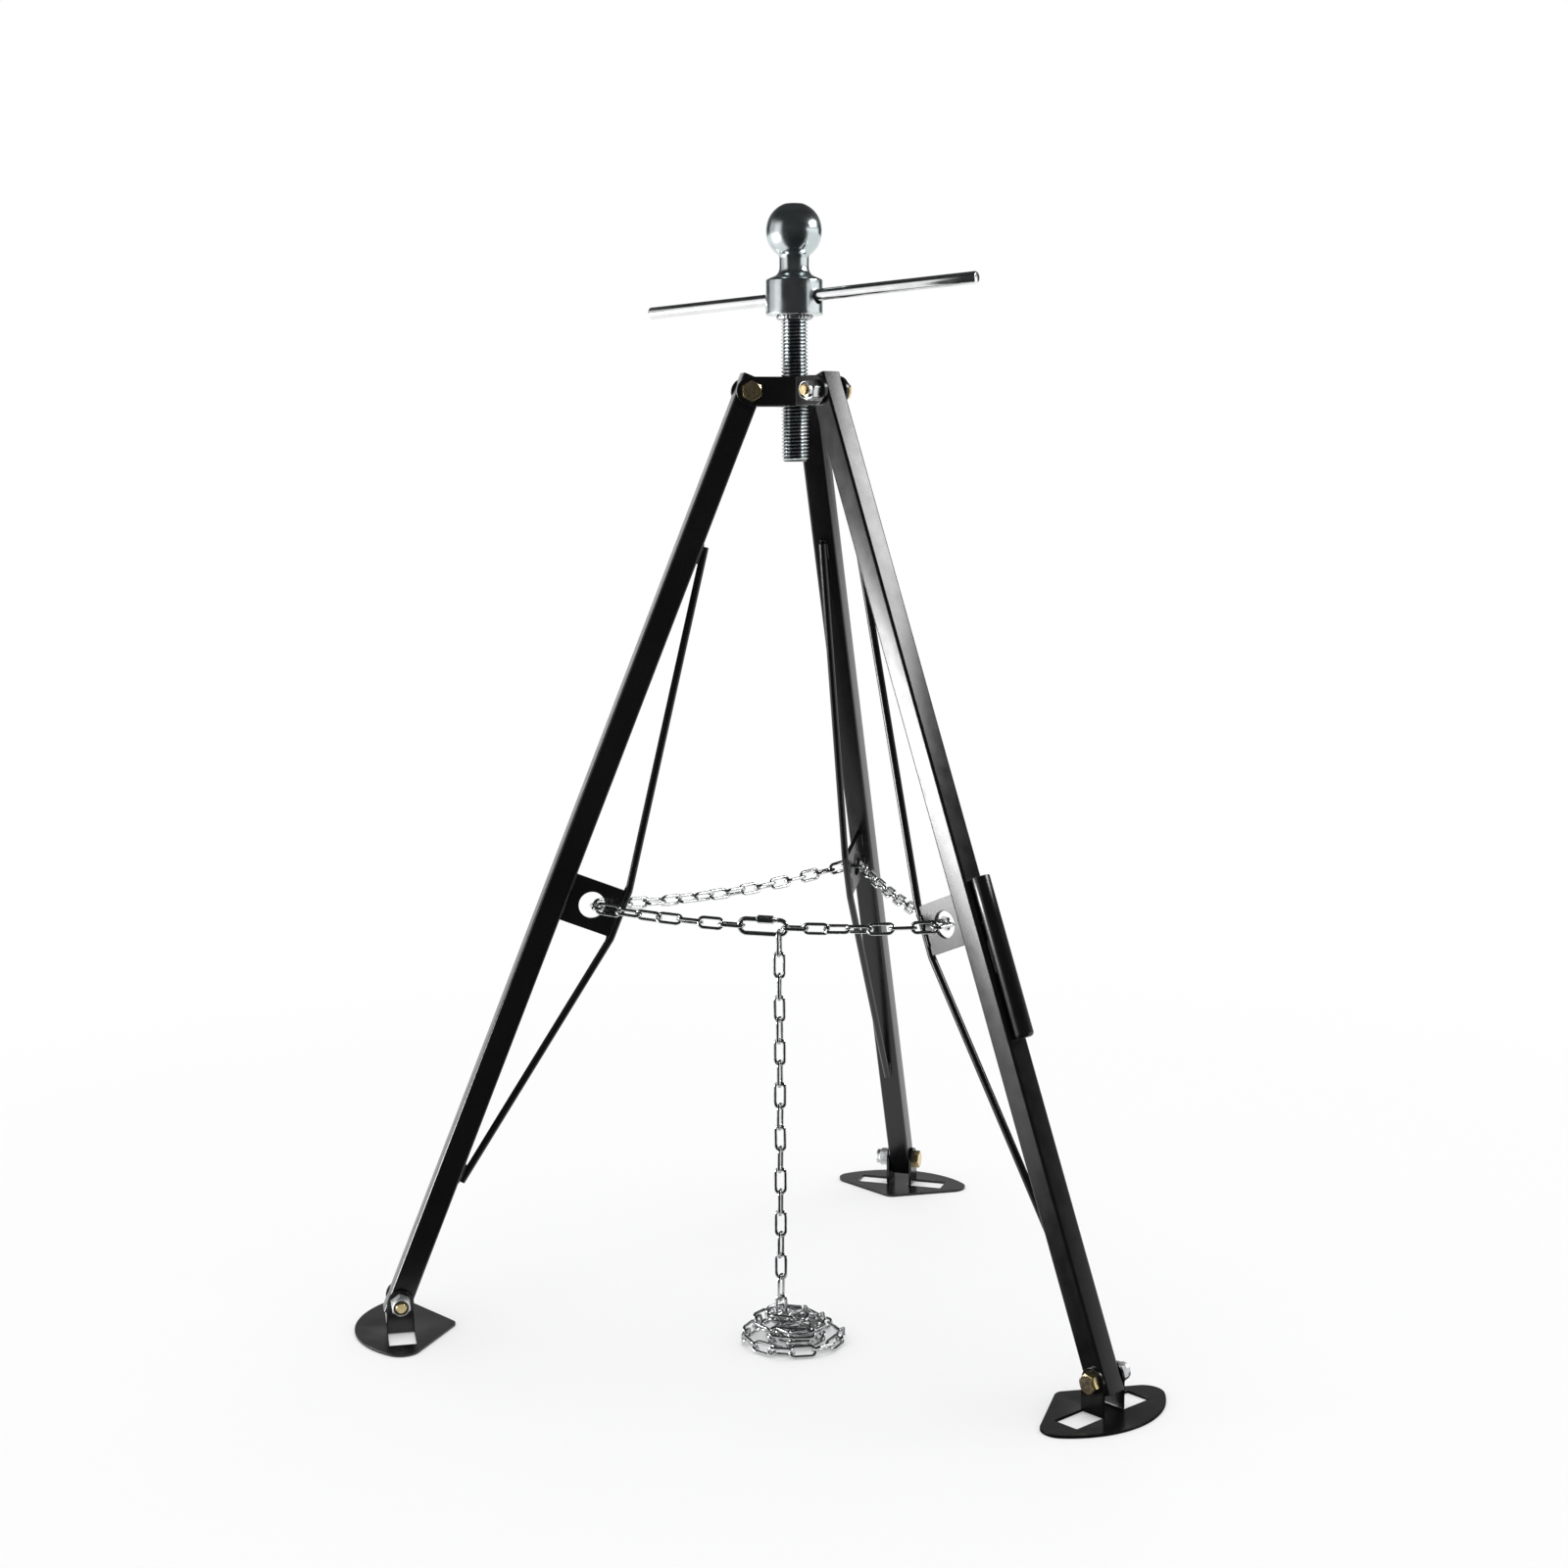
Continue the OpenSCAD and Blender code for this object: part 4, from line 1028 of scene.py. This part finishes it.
world = bpy.data.worlds.new("studio")
bpy.context.scene.world = world
world.use_nodes = True
wt = world.node_tree
wt.nodes.clear()
wo = wt.nodes.new("ShaderNodeOutputWorld")
tc_ = wt.nodes.new("ShaderNodeTexCoord")
sep = wt.nodes.new("ShaderNodeSeparateXYZ")
wt.links.new(tc_.outputs["Generated"], sep.inputs[0])


def wmath(op, a, b=0.0):
    n = wt.nodes.new("ShaderNodeMath")
    n.operation = op
    for k, val in enumerate((a, b)):
        if isinstance(val, bpy.types.NodeSocket):
            wt.links.new(val, n.inputs[k])
        else:
            n.inputs[k].default_value = val
    return n.outputs[0]


def wspan(val, a0, a1, b0, b1):
    n = wt.nodes.new("ShaderNodeMapRange")
    n.interpolation_type = "SMOOTHSTEP"
    for key, q in (("From Min", a0), ("From Max", a1), ("To Min", b0), ("To Max", b1)):
        n.inputs[key].default_value = q
    wt.links.new(val, n.inputs["Value"])
    return n.outputs[0]


def wramp(fac, stops):
    n = wt.nodes.new("ShaderNodeValToRGB")
    n.color_ramp.interpolation = "EASE"
    el = n.color_ramp.elements
    while len(el) > 1:
        el.remove(el[-1])
    for k, (a, c) in enumerate(stops):
        e = el[0] if k == 0 else el.new((a + 180) / 360)
        e.position = (a + 180) / 360
        e.color = (c * 0.90, c * 0.98, c, 1) if c < 0.1 else (c, c, c, 1)
    wt.links.new(fac, n.inputs[0])
    return n.outputs[0]


def wmix(fac, a, b):
    n = wt.nodes.new("ShaderNodeMix")
    n.data_type = "RGBA"
    for sock, val in ((n.inputs["Factor"], fac), (n.inputs[6], a), (n.inputs[7], b)):
        if isinstance(val, bpy.types.NodeSocket):
            wt.links.new(val, sock)
        elif isinstance(val, tuple):
            sock.default_value = (*val, 1)
        else:
            sock.default_value = val
    return n.outputs[2]


# azimuth 0 towards the camera side, + to the right, as a share of a half turn
neg = wmath("MULTIPLY", sep.outputs[1], -1.0)
azi = wmath("DIVIDE", wmath("ARCTAN2", sep.outputs[0], neg), math.pi)
fac = wmath("ADD", wmath("MULTIPLY", azi, 0.5), 0.5)
# what the metal sees: white screens left and right, a dark room before them, a low white backdrop behind
dark = (0.016, 0.0185, 0.019)
left = wmix(wspan(sep.outputs[2], 0.30, 0.60, 0.0, 1.0), wramp(fac, [(-180, 0.0), (-122, 0.0), (-112, 0.55), (-90, 0.60), (-78, 1.0), (-60, 1.0), (-50, 0.02), (180, 0.02)]), dark)
right = wmix(wspan(sep.outputs[2], 0.09, 0.22, 0.0, 1.0), wramp(fac, [(-180, 0.02), (48, 0.02), (58, 1.25), (112, 1.25), (124, 0.0), (180, 0.0)]), dark)
screens = wmix(wspan(azi, -0.02, 0.02, 0.0, 1.0), left, right)
back = wramp(fac, [(-180, 1.15), (-154, 1.15), (-144, 0.05), (144, 0.05), (154, 1.15), (180, 1.15)])
low = wmix(wspan(sep.outputs[2], 0.10, 0.36, 0.0, 1.0), back, (0.10, 0.10, 0.102))
behind = wramp(fac, [(-180, 1.0), (-126, 1.0), (-118, 0.0), (118, 0.0), (126, 1.0), (180, 1.0)])
seen = wmix(behind, screens, wmix(wspan(sep.outputs[2], 0.36, 0.70, 0.0, 1.0), low, (0.03, 0.032, 0.034)))
bg = wt.nodes.new("ShaderNodeBackground")
wt.links.new(seen, bg.inputs["Color"])
soft_bg = wt.nodes.new("ShaderNodeBackground")
soft_bg.inputs["Color"].default_value = (0.93, 0.93, 0.935, 1)
cam_bg = wt.nodes.new("ShaderNodeBackground")
cam_bg.inputs["Color"].default_value = (1, 1, 1, 1)
lp = wt.nodes.new("ShaderNodeLightPath")
mg = wt.nodes.new("ShaderNodeMixShader")
wt.links.new(lp.outputs["Is Glossy Ray"], mg.inputs[0])
wt.links.new(soft_bg.outputs[0], mg.inputs[1])
wt.links.new(bg.outputs[0], mg.inputs[2])
ms = wt.nodes.new("ShaderNodeMixShader")
wt.links.new(lp.outputs["Is Camera Ray"], ms.inputs[0])
wt.links.new(mg.outputs[0], ms.inputs[1])
wt.links.new(cam_bg.outputs[0], ms.inputs[2])
wt.links.new(ms.outputs[0], wo.inputs[0])


def panel(name, loc, target, w, h, radiance):
    light = bpy.data.lights.new(name, "AREA")
    light.shape = "RECTANGLE"
    light.size, light.size_y = w, h
    light.energy = radiance * math.pi * w * h
    ob = bpy.data.objects.new(name, light)
    bpy.context.scene.collection.objects.link(ob)
    ob.location = loc
    ob.rotation_mode = "QUATERNION"
    ob.rotation_quaternion = (Vector(target) - Vector(loc)).to_track_quat("-Z", "Y")
    return ob


panel("soft_left_low", (-2.2, -0.15, 0.34), (0, 0, 0.5), 1.0, 0.55, 27.0).visible_diffuse = False
panel("soft_right_high", (2.1, -0.05, 1.96), (0, 0, 0.75), 1.3, 0.5, 14.0).visible_diffuse = False
panel("soft_top", (0.2, 0.4, 3.2), (0, 0, 0.4), 2.2, 2.2, 1.6).visible_glossy = False

cam = bpy.data.cameras.new("camera")
cam.lens, cam.sensor_width, cam.sensor_fit = 53.577, 36.0, "HORIZONTAL"
cam.clip_start, cam.clip_end = 0.05, 60.0
co = bpy.data.objects.new("camera", cam)
bpy.context.scene.collection.objects.link(co)
rt_, up_, fw_ = Vector((0.9999735, 0.0047277, -0.00553644)), Vector((0.00486595, 0.13164276, 0.99128528)), Vector((-0.00541533, 0.99128595, -0.13161626))
mat = Matrix.Identity(4)
for k in range(3):
    mat[k][0], mat[k][1], mat[k][2] = rt_[k], up_[k], -fw_[k]
mat[0][3], mat[1][3], mat[2][3] = 0.0, -2.47148, 0.89786
co.matrix_world = mat
bpy.context.scene.camera = co
vs = bpy.context.scene.view_settings
vs.view_transform, vs.look, vs.exposure, vs.gamma = "Standard", "None", 0.0, 1.0

bpy.context.view_layer.update()
